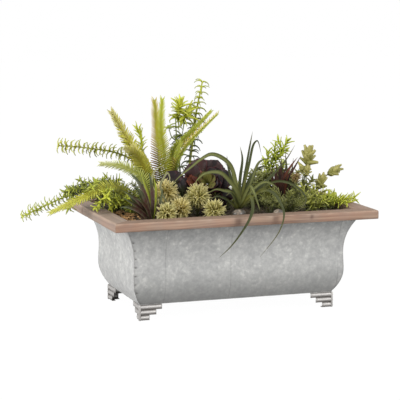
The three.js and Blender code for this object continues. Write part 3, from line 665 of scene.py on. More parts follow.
def wall_columns(half, crimped):
    """Places along a wall: its end and how far in from the corner, or between the end zones, 0 and the share."""
    edge = (0, 0.8, 1.6, 2.4, 3.2, 4.0, 4.8, 5.6, 6.4, 7.4, 8.8, 11, 14) if crimped else (0, 1.5, 5, 14)
    steps = int(2 * half / ((4 if crimped else 9) * MM))
    near = [(-1, distance * MM) for distance in edge]
    far = [(1, distance * MM) for distance in reversed(edge)]
    return [*near, *((0, -1 + 2 * i / steps) for i in range(1, steps)), *far]


def tin_wall(quarter, half, half_depth):
    crimped = quarter % 2 == 0
    middle = wall_line(steps=26 if crimped else 14)
    outline = thickened([(-FLOOR_FLANGE, WALL_BOTTOM), *middle, (MOUTH_OUT + RIM_FLANGE, WALL_TOP)], SHEET)
    columns = wall_columns(half, crimped)
    vertices, crimp_and_fold_shading, patina = [], [], []
    for side, spot in columns:
        for out, height in outline:
            reach = half + out - MITRE_TRIM
            x = side * (reach - spot) if side else spot * (reach - END_ZONE)
            on_wall = crimped and out > 0.5 * MM and WALL_BOTTOM + MM < height < WALL_TOP - MM
            dent = crimp_at(reach + x, height) if on_wall else 0.0
            fold = max(fold_at(reach + x), fold_at(reach - x)) if on_wall else 0.0
            vertices.append(turned((x, -(half_depth + out - CRIMP_DEPTH * dent), height), quarter))
            # Painted shade in each crimping dent, with a fainter painted shadow line along the fold.
            crimp_and_fold_shading.append(dent + fold * 0.3)
            # Painted shade below the waist, fully on the front and back walls and a little on the ends.
            patina.append(max(0.0, 1 - height / WAIST_HEIGHT) * (1.0 if crimped else 0.3))
    form = Form("crimp", "patina", "seamed")
    faces = closed_faces(len(columns), len(outline), folded=True)
    form.add(vertices, faces, crimp=crimp_and_fold_shading, patina=patina, seamed=1.0 if crimped else 0.0)
    name = SIDES[quarter] + "_wall"
    finished(name + "_sheet", form, tin, "galvanised_tin", name, sharp=35)


# Timber rim
def rail_outline():
    """A board's outline across its length, as distance out, height and how worn it is."""
    middle = ((RAIL_IN + RAIL_OUT) / 2, (RAIL_BOTTOM + RAIL_TOP) / 2)
    corners = (
        (RAIL_IN, RAIL_BOTTOM, EDGE_WEAR, math.pi),
        (RAIL_OUT, RAIL_BOTTOM, EDGE_WEAR, -math.pi / 2),
        (RAIL_OUT, RAIL_TOP, RAIL_ROUNDING, 0.0),
        (RAIL_IN, RAIL_TOP, EDGE_WEAR, math.pi / 2),
    )
    points = []
    for out, height, radius, start in corners:
        center_out = out + math.copysign(radius, middle[0] - out)
        center_height = height + math.copysign(radius, middle[1] - height)
        for step in range(5):
            angle = start + math.pi / 2 * step / 4
            worn = 1.0 if 0 < step < 4 else 0.4
            points.append((center_out + radius * math.cos(angle), center_height + radius * math.sin(angle), worn))
    dense = []
    for (x0, z0, worn), (x1, z1, _) in zip(points, points[1:] + points[:1]):
        steps = max(1, round(math.hypot(x1 - x0, z1 - z0) / (4 * MM)))
        for k in range(steps):
            share = k / steps
            dense.append((x0 + (x1 - x0) * share, z0 + (z1 - z0) * share, 0.0 if k else worn))
    return dense


def knot_at(quarter, x, out, height):
    if RAIL_OUT - out > KNOT_DEPTH:
        return 0.0
    total = 0.0
    for place, share, radius in KNOTS[quarter]:
        up = height - RAIL_BOTTOM - share * RAIL_THICKNESS
        total += math.exp(-(((x - place) / (1.5 * radius)) ** 2 + (up / (2.4 * radius)) ** 2))
    return total


def rounded_corner(x, out, half):
    """Pull a point near a rail's mitre in to the rim's rounded upright corner."""
    past = abs(x) - (half + RAIL_OUT - CORNER_ROUNDING)
    over = out - (RAIL_OUT - CORNER_ROUNDING)
    if past <= 0 or over <= 0:
        return x, out
    pulled = 1 - max(past, over) / math.hypot(past, over)
    return x - math.copysign(past * pulled, x), out - over * pulled


def timber_rail(quarter, half, half_depth):
    outline = rail_outline()
    steps = int(2 * half / (5 * MM))
    vertices, grain, worn, knots, topside = [], [], [], [], []
    for k in range(steps + 1):
        share = -1 + 2 * k / steps
        for out, height, wear in outline:
            x = share * (half + out - MITRE_TRIM)
            rough = noise.noise(Vector((x * 60, out * 120, height * 160 + quarter * 7)))
            nick = max(0.0, noise.noise(Vector((x * 45 + quarter * 11, out * 30, height * 30))) - 0.15)
            pull = wear * max(0.0, nick * 1.6 + 0.3 * rough) * MM
            drop = pull * 0.5 if height > RAIL_BOTTOM + RAIL_THICKNESS / 2 else -pull * 0.5
            side = 1 if out > (RAIL_IN + RAIL_OUT) / 2 else -1
            near_x, near_out = rounded_corner(x, out, half)
            vertices.append(turned((near_x, -(half_depth + near_out - side * pull), height - drop), quarter))
            grain.append(Vector((x + quarter * 1.7, out + quarter * 0.31, height)))
            worn.append(max(0.0, min(1.0, wear * (0.35 + rough + 0.6 * nick))))
            knots.append(knot_at(quarter, x, out, height))
            topside.append((1 - 1.6 * RAIL_GREY[quarter]) if height > RAIL_TOP - 0.5 * MM else 0.0)
    form = Form("grain", "worn", "knot", "grey", "topside")
    faces = closed_faces(steps + 1, len(outline))
    form.add(vertices, faces, grain=grain, worn=worn, knot=knots, grey=RAIL_GREY[quarter], topside=topside)
    name = SIDES[quarter] + "_rail"
    finished(name + "_board", form, timber_look, "weathered_timber", name, sharp=50)


# Pressed feet
def rib_line(number, steps=12):
    """One half-round rib from top to bottom, as bulge and height."""
    top = -RIB_HEIGHT * number
    return [(RIB_BULGE * abs(math.sin(math.pi * i / steps)) ** 0.75, top - RIB_HEIGHT * i / steps)
            for i in range(steps + 1)]


def painted_rib_shade_at(height):
    """Painted shade: the lower side of each rib and the line above it are darker, 0 to 1."""
    share = (-height / RIB_HEIGHT) % 1.0
    return max(0.0, min(1.0, (share - 0.52) / 0.25)) if share > 0.14 else 0.8


def leg_rings(outline, length, end):
    """A foot's leg from its rounded end to the corner, as rings of points."""
    stations = ((1.0, 0.1), (0.75, 0.62), (0.4, 0.9), (0.0, 1.0))
    rings = []
    for distance, size in [*((length - end + end * share, size) for share, size in stations), (2 * MM, 1.0)]:
        rings.append([(-out * size if out > 0 else -out, max(distance, 0.05 * distance - out), height)
                      for out, height in outline])
    return rings


def foot_strip(form, line, length, place):
    """A pressed strip along both legs of a foot, folded at the corner and rounded off at its ends."""
    outline = thickened(line[::-1], FOOT_SHEET)
    corner = [(-out, -out, height) for out, height in outline]
    side = [[(y, x, z) for x, y, z in ring] for ring in leg_rings(outline, length, 4 * MM)]
    rings = [*leg_rings(outline, length, 0.7 * length), corner, *reversed(side)]
    vertices = [place(point) for ring in rings for point in ring]
    # Painted shade on the lower side of each rib and in the groove above it.
    tarnish = [painted_rib_shade_at(height) for ring in rings for _, _, height in ring]
    form.add(vertices, closed_faces(len(rings), len(outline), folded=True), tarnish=tarnish)


def corner_post(form, place):
    """The rounded upright that closes the ribs at a foot's corner."""
    middle = POST_WIDTH / 2 - RIB_BULGE
    straight = POST_WIDTH / 2 - POST_ROUNDING
    outline = []
    for corner in range(4):
        center_x = math.copysign(straight, math.cos(math.pi / 4 + math.pi / 2 * corner))
        center_y = math.copysign(straight, math.sin(math.pi / 4 + math.pi / 2 * corner))
        for step in range(5):
            angle = math.pi / 2 * (corner + step / 4)
            outline.append((center_x + POST_ROUNDING * math.cos(angle), center_y + POST_ROUNDING * math.sin(angle)))
    low = -RIB_HEIGHT * len(RIB_LENGTHS)
    levels = ((0.0, 0.9), (-0.6 * MM, 1.0), (low + 1.6 * MM, 1.0), (low + 0.4 * MM, 0.85), (low, 0.55))
    vertices = [place((middle + x * size, middle + y * size, height)) for height, size in levels for x, y in outline]
    # Painted shade on the post's sides that meet the ribs.
    tarnish = [1.0 if max(x, y) > 1.5 * MM else 0.15 for x, y in outline] * len(levels)
    form.add(vertices, closed_faces(len(levels), len(outline)), tarnish=tarnish)


def foot(name, side_x, side_y):
    corner = Vector((side_x * (HALF_LENGTH - FOOT_INSET), side_y * (HALF_DEPTH - FOOT_INSET), -SEAT_GAP))

    def place(point):
        x, y, z = point
        return corner + Vector((-side_x * x, -side_y * y, z))

    form = Form("tarnish")
    corner_post(form, place)
    for number, length in enumerate(RIB_LENGTHS):
        line = rib_line(number)
        if number == 0:
            line = [(-FOOT_FLANGE, 0.0), (-0.2 * MM, 0.0), *line[1:]]
        if number == len(RIB_LENGTHS) - 1:
            line = [*line[:-1], (-0.2 * MM, line[-1][1]), (-SOLE_WIDTH, line[-1][1])]
        foot_strip(form, line, length, place)
    finished(name + "_bracket", form, foot_metal, "pressed_foot", name, sharp=45)


# Leaves: each grows along +Z from the origin, and bends towards +Y. Sizes are length, width and thickness.
def leaf(size, bend, widths, steps=4, sides=3, flat="X", sweep=0.0):
    """widths are the shares of the width at the leaf's foot, at 0.4 of its length and at its tip."""
    length, width, thickness = size
    vertices, tips = [], []
    place = Vector()
    for i in range(steps + 1):
        t = i / steps
        angle = bend * t
        direction = Vector((math.sin(sweep * t), math.sin(angle), math.cos(angle))).normalized()
        if i:
            place = place + direction * (length / steps)
        across = Vector((1, 0, 0))
        through = direction.cross(across).normalized()
        if flat == "Y":
            across, through = through, across
        if t < 0.4:
            share = widths[0] + (widths[1] - widths[0]) * t / 0.4
        else:
            share = widths[1] + (widths[2] - widths[1]) * (t - 0.4) / 0.6
        half = max(0.12 * MM, width / 2 * share)
        thick = max(0.1 * MM, thickness / 2 * (1 - 0.6 * t))
        for side in range(sides):
            turn = 2 * math.pi * side / sides + math.pi / 2
            vertices.append(place + across * (half * math.cos(turn)) + through * (thick * math.sin(turn)))
            tips.append(t)
    form = Form("tip")
    form.add(vertices, closed_faces(steps + 1, sides), tip=tips)
    form.face_outward()
    return form


def leaf_set(name, count, seed, make):
    """A collection of leaf shapes for the stems to pick from. It isn't shown itself."""
    chance = random.Random(seed)
    group = bpy.data.collections.new(name)
    for i in range(count):
        whole = Form("tip")
        for form, matrix in make(chance):
            whole.add([matrix @ v for v in form.vertices], form.faces, tip=form.fields["tip"])
        group.objects.link(bpy.data.objects.new(f"{name}_{i}", whole.mesh(f"{name}_{i}")))
    return group


def whorl(leaves, lean, size, bends, widths=(0.7, 1.0, 0.15), **shape):
    """Leaves that stand round a stem at one height."""
    length, width, thickness = (value * MM for value in size)

    def make(chance):
        for i in range(leaves):
            long = length * chance.uniform(0.78, 1.22)
            form = leaf((long, width, thickness), chance.uniform(*bends), widths, **shape)
            turn = 2 * math.pi * (i + chance.uniform(-0.25, 0.25)) / leaves
            tilt = lean * chance.uniform(0.8, 1.2)
            yield form, Matrix.Rotation(turn, 4, "Z") @ Matrix.Rotation(-tilt, 4, "X")
    return make


def single(size, bends, widths, sweep=0.3, **shape):
    def make(chance):
        bend, aside = chance.uniform(*bends), chance.uniform(-sweep, sweep)
        yield leaf([value * MM for value in size], bend, widths, sweep=aside, **shape), Matrix.Identity(4)
    return make


# Node trees that grow leaves
def new_tree(name, *inputs):
    """A node tree with the inputs that all share, and further ones: a kind of value, then its labels."""
    tree = bpy.data.node_groups.new(name, "GeometryNodeTree")
    tree.interface.new_socket("Geometry", in_out="INPUT", socket_type="NodeSocketGeometry")
    tree.interface.new_socket("Geometry", in_out="OUTPUT", socket_type="NodeSocketGeometry")
    shared = (("Collection", "Leaves"), ("Material", "Material"), ("Int", "Seed"))
    for kind, *labels in (*shared, *inputs):
        for label in labels:
            tree.interface.new_socket(label, in_out="INPUT", socket_type="NodeSocket" + kind)
    return tree, Wire(tree).node("NodeGroupInput")


def chance_of(given, low, high, extra):
    values = {2: low, 3: high, 8: given["Seed"] + extra}
    return given.node("FunctionNodeRandomValue", values, 1, data_type="FLOAT")


def with_field(geometry, name, value):
    values = {0: geometry, 2: name, 3: value}
    return geometry.node("GeometryNodeStoreNamedAttribute", values, data_type="FLOAT", domain="POINT")


def named_field(given, name):
    return given.node("GeometryNodeInputNamedAttribute", (name,), data_type="FLOAT")


def compared(given, operation, first, second):
    return given.node("FunctionNodeCompare", (first, second), data_type="FLOAT", operation=operation)


def turned_by(rotation, x=0.0, y=0.0, z=0.0):
    angles = rotation.node("ShaderNodeCombineXYZ", (x, y, z))
    euler = rotation.node("FunctionNodeEulerToRotation", (angles,))
    return rotation.node("FunctionNodeRotateRotation", (rotation, euler), rotation_space="LOCAL")


def end_tree(given, body, points, chosen, rotation, size):
    """Places leaves on the chosen points, beside the plain body."""
    shapes = given.node("GeometryNodeCollectionInfo", (given["Leaves"], True, True))
    pick = given.node("FunctionNodeRandomValue", {4: 0, 5: 9, 8: given["Seed"] + 9}, 2, data_type="INT")
    leaves = given.node("GeometryNodeInstanceOnPoints", (points, chosen, shapes, True, pick, rotation, size))
    whole = given.node("GeometryNodeJoinGeometry", ([leaves, body],))
    real = given.node("GeometryNodeRealizeInstances", (whole,))
    given.node("NodeGroupOutput", (given.node("GeometryNodeSetMaterial", {0: real, 2: given["Material"]}),))


def leafy_stem_tree():
    """Stems drawn as chains of edges get their thickness and their leaves."""
    group, given = new_tree(
        "leafy_stems",
        ("Float", "Spacing", "Turn", "Foot Size", "Middle Size", "Tip Size", "Foot Lean", "Tip Lean"),
        ("Float", "Bare Share", "Size Spread", "Angle Spread"),
        ("Vector", "Facing"),
    )
    stems = given.node("GeometryNodeMeshToCurve", (given,))
    knots = given.node("GeometryNodeResampleCurve", {0: stems, 3: given["Spacing"]}, mode="LENGTH")
    shaded = with_field(knots, "shade", chance_of(given, 0.0, 1.0, 0))
    points = given.node("GeometryNodeCurveToPoints", (shaded,), mode="EVALUATED")
    along = named_field(given, "along")
    axes = (points["Tangent"], given["Facing"])
    rotation = given.node("FunctionNodeAxesToRotation", axes, primary_axis="Z", secondary_axis="X")
    wobble = given["Angle Spread"]
    turn = given.node("GeometryNodeInputIndex") * given["Turn"] + wobble * chance_of(given, -1.0, 1.0, 1)
    rest = 1 - along
    lean = given["Foot Lean"] * rest + given["Tip Lean"] * along
    rotation = turned_by(rotation, z=turn)
    rotation = turned_by(rotation, x=wobble * chance_of(given, -1.0, 1.0, 2) - lean)
    size = (
        given["Foot Size"] * rest * rest
        + given["Middle Size"] * rest * along * 2
        + given["Tip Size"] * along * along
    )
    size = size * (1 + given["Size Spread"] * chance_of(given, -1.0, 1.0, 3))
    ring = given.node("GeometryNodeCurvePrimitiveCircle", {0: 6, 4: 1.0}, mode="RADIUS")
    bark = given.node("GeometryNodeCurveToMesh", (stems, ring, named_field(given, "thick"), True))
    end_tree(given, bark, points, compared(given, "GREATER_EQUAL", along, given["Bare Share"]), rotation, size)
    return group


def covered_surface_tree():
    """A surface gets leaves or fibres that stand on it."""
    group, given = new_tree("covered_surface", ("Float", "Gap", "Density", "Lean", "Size", "Size Spread"))
    open_part = compared(given, "LESS_EQUAL", named_field(given, "bare"), 0.01)
    values = {0: given, 1: open_part, 2: given["Gap"], 3: given["Density"], 6: given["Seed"]}
    points = given.node("GeometryNodeDistributePointsOnFaces", values, distribute_method="POISSON")
    shaded = with_field(points, "shade", chance_of(given, 0.0, 1.0, 1))
    shaded = with_field(shaded, "along", chance_of(given, 0.5, 1.0, 7))
    lean_x, lean_y = (given["Lean"] * chance_of(given, -1.0, 1.0, extra) for extra in (2, 3))
    rotation = turned_by(points["Rotation"], x=lean_x, y=lean_y)
    rotation = turned_by(rotation, z=chance_of(given, 0.0, 6.283, 4))
    size = given["Size"] * (1 + given["Size Spread"] * chance_of(given, -1.0, 1.0, 5))
    end_tree(given, given, shaded, True, rotation, size)
    return group


def grown(mesh, tree, *values):
    """The plain mesh that a node tree makes of the given one. The values follow the tree's inputs."""
    source = as_object(mesh.name + "_source", mesh)
    modifier = source.modifiers.new("grow", "NODES")
    modifier.node_group = tree
    inputs = [item for item in tree.interface.items_tree if item.in_out == "INPUT" and item.name != "Geometry"]
    for item, value in zip(inputs, values, strict=True):
        modifier[item.identifier] = float(value) if item.socket_type == "NodeSocketFloat" else value
    depsgraph = bpy.context.evaluated_depsgraph_get()
    made = bpy.data.meshes.new_from_object(source.evaluated_get(depsgraph), depsgraph=depsgraph)
    bpy.data.objects.remove(source)
    made.shade_smooth()
    return made


def covered(mesh, leaves, look, seed, gap, density, lean, size, spread):
    """A surface with leaves or fibres on it, at least a gap apart, which is in millimetres."""
    return grown(mesh, surface_tree, leaves, look, seed, gap * MM, density, lean, size, spread)


def leafy(stems, leaves, look, seed, gap, turn, sizes, leans=(0, 0), bare=0, spreads=(0.15, 0.2), facing=TO_VIEWER):
    """Stems with leaves. Each stem is the radius of its foot, then its points, in millimetres.

    The sizes are those of the leaves at a stem's foot, middle and tip, the leans those at its foot and
    tip, and the spreads those of the sizes and the angles."""
    form, edges = Form("along", "thick"), []
    for radius, *points in stems:
        path = moss_path(points, 10)
        start = len(form.vertices)
        lengths = [0.0]
        for a, b in zip(path, path[1:]):
            lengths.append(lengths[-1] + (b - a).length)
        shares = [length / lengths[-1] for length in lengths]
        form.add(path, [], along=shares, thick=[radius * MM * (1 - 0.55 * share) for share in shares])
        edges += [(start + i, start + i + 1) for i in range(len(path) - 1)]
    mesh = form.mesh("stems", HOME, edges)
    values = (leaves, foliage[look], seed, gap * MM, turn, *sizes, *leans, bare, *spreads, facing)
    return grown(mesh, stem_tree, *values)


def plant(name, slot, node, *meshes):
    """One piece of all a plant's meshes."""
    things = [as_object(f"{name}_{i}", mesh) for i, mesh in enumerate(meshes)]
    if len(things) > 1:
        chosen = {"active_object": things[0], "object": things[0], "selected_editable_objects": things}
        with bpy.context.temp_override(**chosen):
            bpy.ops.object.join()
    things[0].name = name
    things[0].data.name = name
    keep(things[0], slot, *([node] if node else []))


def fan(foot, *branches):
    """Stems or straps that leave one point. Each is its size, then its further points."""
    return [(size, foot, *points) for size, *points in branches]


def side_stems(points, count, seed, reach, spread, rise, start):
    """Short branches that leave a main stem."""
    chance = random.Random(seed)
    path = smooth_path(points, 8)
    branches = []
    for i in range(count):
        share = start + (1 - start) * (i + chance.random()) / count
        place = path[min(len(path) - 2, int(share * (len(path) - 1)))]
        ahead = (path[-1] - path[-3]).normalized()
        aside = Vector((chance.gauss(0, 1), chance.gauss(0, 0.8), chance.gauss(0, 0.7))).normalized()
        direction = (ahead * (1 - spread) + aside * spread + UP * rise).normalized()
        length = reach * chance.uniform(0.6, 1.1)
        end = place + direction * length - UP * (length * 0.12) + aside * (length * 0.15)
        branches.append((1.0, place, place + direction * (length * 0.5), end))
    return branches


def leafy_ball(centre, radius, look, seed):
    """A head of small leaves on a core."""
    work = bmesh.new()
    bmesh.ops.create_icosphere(work, subdivisions=2, radius=radius * BALL_CORE * MM)
    bmesh.ops.translate(work, verts=work.verts, vec=over_moss(centre) + HOME)
    mesh = bpy.data.meshes.new("core")
    work.to_mesh(mesh)
    work.free()
    size = radius * (1 - BALL_CORE) / STAR_LEAF
    return covered(mesh, star_leaves, foliage[look], seed, gap=1.35, density=2e6, lean=0.6, size=size, spread=0.2)


# Straps: agave, air plant, red and grey blades
CHANNEL = (
    (-1.0, 0.0), (-0.55, -0.6), (0.0, -1.0), (0.55, -0.6),
    (1.0, 0.0), (0.55, -0.35), (0.0, -0.7), (-0.55, -0.35),
)


def strap(form, points, half_width, shade, twist, hollow, foot):
    """A channelled blade through the points."""
    path = moss_path(points, 9)
    last = len(path) - 1
    vertices, along, across = [], [], []
    for i, place in enumerate(path):
        t = i / last
        ahead = (path[min(i + 1, last)] - path[max(i - 1, 0)]).normalized()
        side = Matrix.Rotation(twist * t, 3, ahead) @ TO_VIEWER.cross(ahead).normalized()
        through = ahead.cross(side).normalized()
        fullness = max(0.06, min(1.0, foot + t * 1.6) * min(1.0, (1 - t) * 1.7) ** 0.8)
        half = half_width * MM * fullness
        depth = half * hollow + 0.45 * MM * fullness
        for a, b in CHANNEL:
            vertices.append(place + side * (a * half) + through * ((b + 0.5) * depth))
            along.append(t)
            across.append(abs(a))
    form.add(vertices, closed_faces(last + 1, len(CHANNEL)), along=along, across=across, shade=shade)


def strap_plant(name, slot, node, straps, seed, hollow, foot, striped=(), width=1.0, look=None):
    """Each strap is half its width, then its points. The slot also names the look, if none is given."""
    chance = random.Random(seed)
    form = Form("along", "across", "shade")
    for i, (half_width, *points) in enumerate(straps):
        shade = 1.0 if i in striped else chance.random() * 0.8
        strap(form, points, half_width * width, shade, chance.uniform(-0.5, 0.5), hollow, foot)
    finished(name, form, blades[look or slot], slot, node, sharp=70)


def tube(form, points, radius, sides=8):
    path = [over_moss(point) for point in points]
    vertices = []
    for i, place in enumerate(path):
        ahead = (path[min(i + 1, len(path) - 1)] - path[max(i - 1, 0)]).normalized()
        side = ahead.orthogonal().normalized()
        other = ahead.cross(side)
        for k in range(sides):
            turn = 2 * math.pi * k / sides
            vertices.append(place + side * (radius * math.cos(turn)) + other * (radius * math.sin(turn)))
    form.add(vertices, closed_faces(len(path), sides))


# Bed: moss, pebbles and chips
def grid_faces(across, up):
    """The faces of a grid with so many points across and up."""
    corners = [j * across + i for j in range(up - 1) for i in range(across - 1)]
    return [(a, a + 1, a + 1 + across, a + across) for a in corners]


def grid_edge(across, up):
    """The outer points of such a grid, one after another, each with the next."""
    right = [j * across + across - 1 for j in range(1, up)]
    far = [(up - 1) * across + i for i in range(across - 2, -1, -1)]
    edge = [*range(across), *right, *far, *(j * across for j in range(up - 2, 0, -1))]
    return list(zip(edge, edge[1:] + edge[:1]))


def bed_cover():
    """The lumpy top of the moss and its drawn-in underside. Its edge is bare of fibres."""
    columns, rows = 110, 66
    margin = Vector((0.6 * MM, 0.6 * MM, 0))
    low, high = BED_LOW + margin, BED_HIGH - margin
    vertices, bare = [], []
    for j in range(rows + 1):
        for i in range(columns + 1):
            x = low.x + (high.x - low.x) * i / columns
            y = low.y + (high.y - low.y) * j / rows
            lumps = noise.fractal(Vector((x * 42, y * 42, 3.1)), 0.9, 2.1, 4)
            inside = 0 < i < columns and 0 < j < rows
            lift = (MOSS_LUMPS * lumps - MOSS_SUNK) * MM if inside else -MOSS_SUNK * MM
            vertices.append(HOME + Vector((x, y, BED_HIGH.z + lift)))
            bare.append(0.0 if 2 < i < columns - 2 and 2 < j < rows - 2 else 1.0)
    edge = grid_edge(columns + 1, rows + 1)
    middle = HOME + (low + high) / 2
    start, count = len(vertices), len(edge)
    faces = grid_faces(columns + 1, rows + 1)
    for k, (a, b) in enumerate(edge):
        drawn_in = middle + (vertices[a] - middle) * MOSS_TAPER
        vertices.append(Vector((drawn_in.x, drawn_in.y, HOME.z + BED_LOW.z)))
        faces.append((a, start + k, start + (k + 1) % count, b))
    form = Form("bare")
    form.add(vertices, [*faces, tuple(range(start, start + count))[::-1]], bare=bare + [1.0] * count)
    form.face_outward()
    return form.mesh("bed")


def lump(form, centre, size, seed, roughness, shade=0.5, subdivisions=3, facets=1.0):
    """A rounded stone, or with fewer subdivisions an angular bit that is turned at random."""
    work = bmesh.new()
    bmesh.ops.create_icosphere(work, subdivisions=subdivisions, radius=1.0)
    chance = random.Random(seed)
    shift = Vector([chance.uniform(0, 50) for _ in range(3)])
    turn = Matrix.Rotation(chance.uniform(0, 3.14), 3, "Z") @ Matrix.Rotation(chance.uniform(-0.35, 0.35), 3, "X")
    if subdivisions > 2:
        turn = Matrix.Identity(3)
    vertices = []
    for v in work.verts:
        swell = 1 + roughness * noise.noise(v.co * facets + shift)
        vertices.append(centre + turn @ Vector([v.co[i] * size[i] * swell for i in range(3)]))
    form.add(vertices, [tuple(v.index for v in face.verts) for face in work.faces], shade=shade)
    work.free()


def pebble(name, seed):
    low, high = (Vector(corner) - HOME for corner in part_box(name))
    form = Form("shade")
    lump(form, (low + high) / 2, (high - low) * 0.485, seed, roughness=0.1)
    finished(name + "_stone", form, stone_look, "pebble", name, sharp=180)


def chip_pile(name, seed, count=18, lower=10):
    """A pile of chips, the lower ones of them under the rest."""
    low, high = (Vector(corner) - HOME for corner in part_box(name))
    chance = random.Random(seed)
    form = Form("shade")
    for k in range(count):
        size = [chance.uniform(*limits) * MM for limits in ((4, 8), (2, 4), (1.2, 2.4))]
        x = chance.uniform(low.x + 5 * MM, high.x - 5 * MM)
        y = chance.uniform(low.y + 3 * MM, high.y - 3 * MM)
        place = Vector((x, y, low.z + (2.0 + 4.2 * (k // lower)) * MM))
        lump(form, place, size, seed * 100 + k, 0.5, shade=chance.random(), subdivisions=1, facets=2.5)
    finished(name + "_pile", form, chip_look, "wood_chip", name, sharp=20)


def scattered(name, seed, spread, sizes, look, slot, count=60):
    """Loose bits on the moss, over a patch given in millimetres."""
    left, right, front, back = spread
    chance = random.Random(seed)
    form = Form("shade")
    for k in range(count):
        place = over_moss((chance.uniform(left, right), chance.uniform(front, back), chance.uniform(1.5, 4)))
        size = [chance.uniform(*limits) * MM for limits in sizes]
        lump(form, place, size, seed * 100 + k, 0.5, shade=chance.random(), subdivisions=1, facets=2.5)
    finished(name, form, look, slot, sharp=20)


# Stems and heads that several plants share
def fern_frond(points, seed, size, look="fern_foliage", leaflets=None, gap=2.0, turn=math.pi, facing=TO_VIEWER):
    """A stem with leaflets on both sides, or with turn 0 on one side. The size is that at its foot."""
    sizes = (size, 1.42 * size, 0.76 * size)
    return leafy(
        [(1.3, *points)], leaflets or fern_leaflets, look, seed, gap, turn, sizes,
        leans=(1.6, 0.32), bare=0.12, spreads=(0.06, 0.05), facing=facing,
    )


def pale_head(points, seed, reach, share, open_lean, tip_lean=0.35):
    """A bud of plump leaves over the last share of its stem."""
    foot_lean = (open_lean - tip_lean * (1 - share)) / share
    sizes = (0.6, reach / BUD_LEAF, 0.9 * reach / BUD_LEAF)
    return leafy(
        [(2.4, *points)], bud_leaves, "pale_rosette_leaf", seed, gap=1.6, turn=GOLDEN_TURN, sizes=sizes,
        leans=(foot_lean, tip_lean), bare=1 - share, spreads=(0.14, 0.16),
    )


def low_stems(count, seed, left, right, front, back, low, high, fall):
    """Short stems over a patch of the bed. They get lower towards the right by the share fall."""
    chance = random.Random(seed)
    stems = []
    for _ in range(count):
        x, y = chance.uniform(left, right), chance.uniform(front, back)
        height = chance.uniform(low, high) * (1 - fall * (x - left) / (right - left))
        lean_x, lean_y = chance.gauss(0, 0.28) * height, chance.gauss(0, 0.28) * height
        halfway = (x + lean_x * 0.4, y + lean_y * 0.4, height * 0.6)
        stems.append((1.6, (x, y, -2), halfway, (x + lean_x, y + lean_y, height)))
    return stems


# Dark rosette
def broad_leaf(form, foot, heading, face, length, width, cup, curl, shade, wave, seed):
    """A spoon-shaped leaf from its foot along heading, with its upper side towards face."""
    rows, columns = 9, 7
    side = heading.cross(face).normalized()
    place, direction = foot.copy(), heading.normalized()
    phase = random.Random(seed).uniform(0, 6.28)
    top, under, along, across = [], [], [], []
    for i in range(rows):
        t = i / (rows - 1)
        fullness = 0.34 + 0.66 * math.sin(math.pi * (min(t, ROSETTE_ROUND_OFF) * 0.62 + 0.06))
        if t >= ROSETTE_ROUND_OFF:
            fullness *= math.sqrt(max(0.0, 1 - ((t - ROSETTE_ROUND_OFF) / (1 - ROSETTE_ROUND_OFF)) ** 2.2))
        half = width / 2 * max(fullness, 0.05)
        normal = side.cross(direction).normalized()
        for j in range(columns):
            a = -1 + 2 * j / (columns - 1)
            lift = cup * half * a * a + wave * half * math.sin(phase + 9 * t + 2 * a) * abs(a)
            point = place + side * (a * half) + normal * lift
            top.append(point + normal * (0.6 * MM))
            under.append(point - normal * (0.8 * MM))
            along.append(t)
            across.append(max(abs(a), (t - 0.8) * 5))
        direction = (Matrix.Rotation(curl * t, 3, side) @ direction).normalized()
        place = place + direction * (length / (rows - 1))
    start = len(top)
    faces = []
    for a, b, c, d in grid_faces(columns, rows):
        faces += [(a, b, c, d), (start + a, start + d, start + c, start + b)]
    faces += [(a, start + a, start + b, b) for a, b in grid_edge(columns, rows)]
    form.add(top + under, faces, along=along * 2, across=across * 2, shade=shade)


def rosette_shade(across, upward, inner):
    """Orange-brown at the left, maroon above, near black at the right, olive inside."""
    if inner > 0.72:
        return 1.3
    if across < -0.35:
        return 0.84 if upward < 0.5 else 0.42
    if upward > 0.25:
        return 0.46 if across < 0.45 else 0.04
    return 0.12 if across > 0.3 else 0.3


def rosette_head(form, count=26):
    chance = random.Random(11)
    centre = over_moss((-42, -34, 62))
    axis = Vector((-0.32, -0.76, 0.56)).normalized()
    side = axis.cross(UP).normalized() * -1
    top = axis.cross(side).normalized()
    if top.z < 0:
        top = -top
    for k in range(count):
        t = k / (count - 1)
        angle = k * GOLDEN_TURN + 0.4
        outward = side * math.cos(angle) + top * math.sin(angle)
        lean = math.radians(86 - 62 * t) + chance.uniform(-0.1, 0.1)
        heading = outward * math.sin(lean) + axis * math.cos(lean)
        face = axis * math.sin(lean) - outward * math.cos(lean)
        length = (57 - 32 * t) * MM * chance.uniform(0.9, 1.06)
        width = (42 - 20 * t) * MM * chance.uniform(0.88, 1.1)
        foot_place = centre + outward * ((5 - 3 * t) * MM) + axis * ((t * 12 - 8) * MM)
        shade = rosette_shade(outward.x, outward.z, t) + chance.uniform(-0.08, 0.08)
        curl = chance.uniform(-0.26, 0.02)
        broad_leaf(form, foot_place, heading, face, length, width, 0.35, curl, shade, wave=0.18, seed=k)


# Camera, room and finishes
make_camera(turn=19.574, rise=8.492, roll=0.235, distance=3.5056, lens=140.16)
make_studio()

tin = finish("galvanised_tin", galvanised)
# The foot's second colour serves both its stains and the painted shade of its rib grooves.
foot_metal = finish("pressed_foot", rubbed_metal, (172, 169, 166), (122, 118, 114), 0.42, 0.5)
fastener_metal = finish("fastener", rubbed_metal, (200, 198, 192), (140, 134, 126), 0.26, 0.8)
timber_look = finish("weathered_timber", timber)
moss_look = finish("moss", moss)
stone_look = finish("pebble", pebble_stone)
chip_look = finish("wood_chip", chipped_wood)
rosette_look = finish("dark_rosette_leaf", rosette_paint)

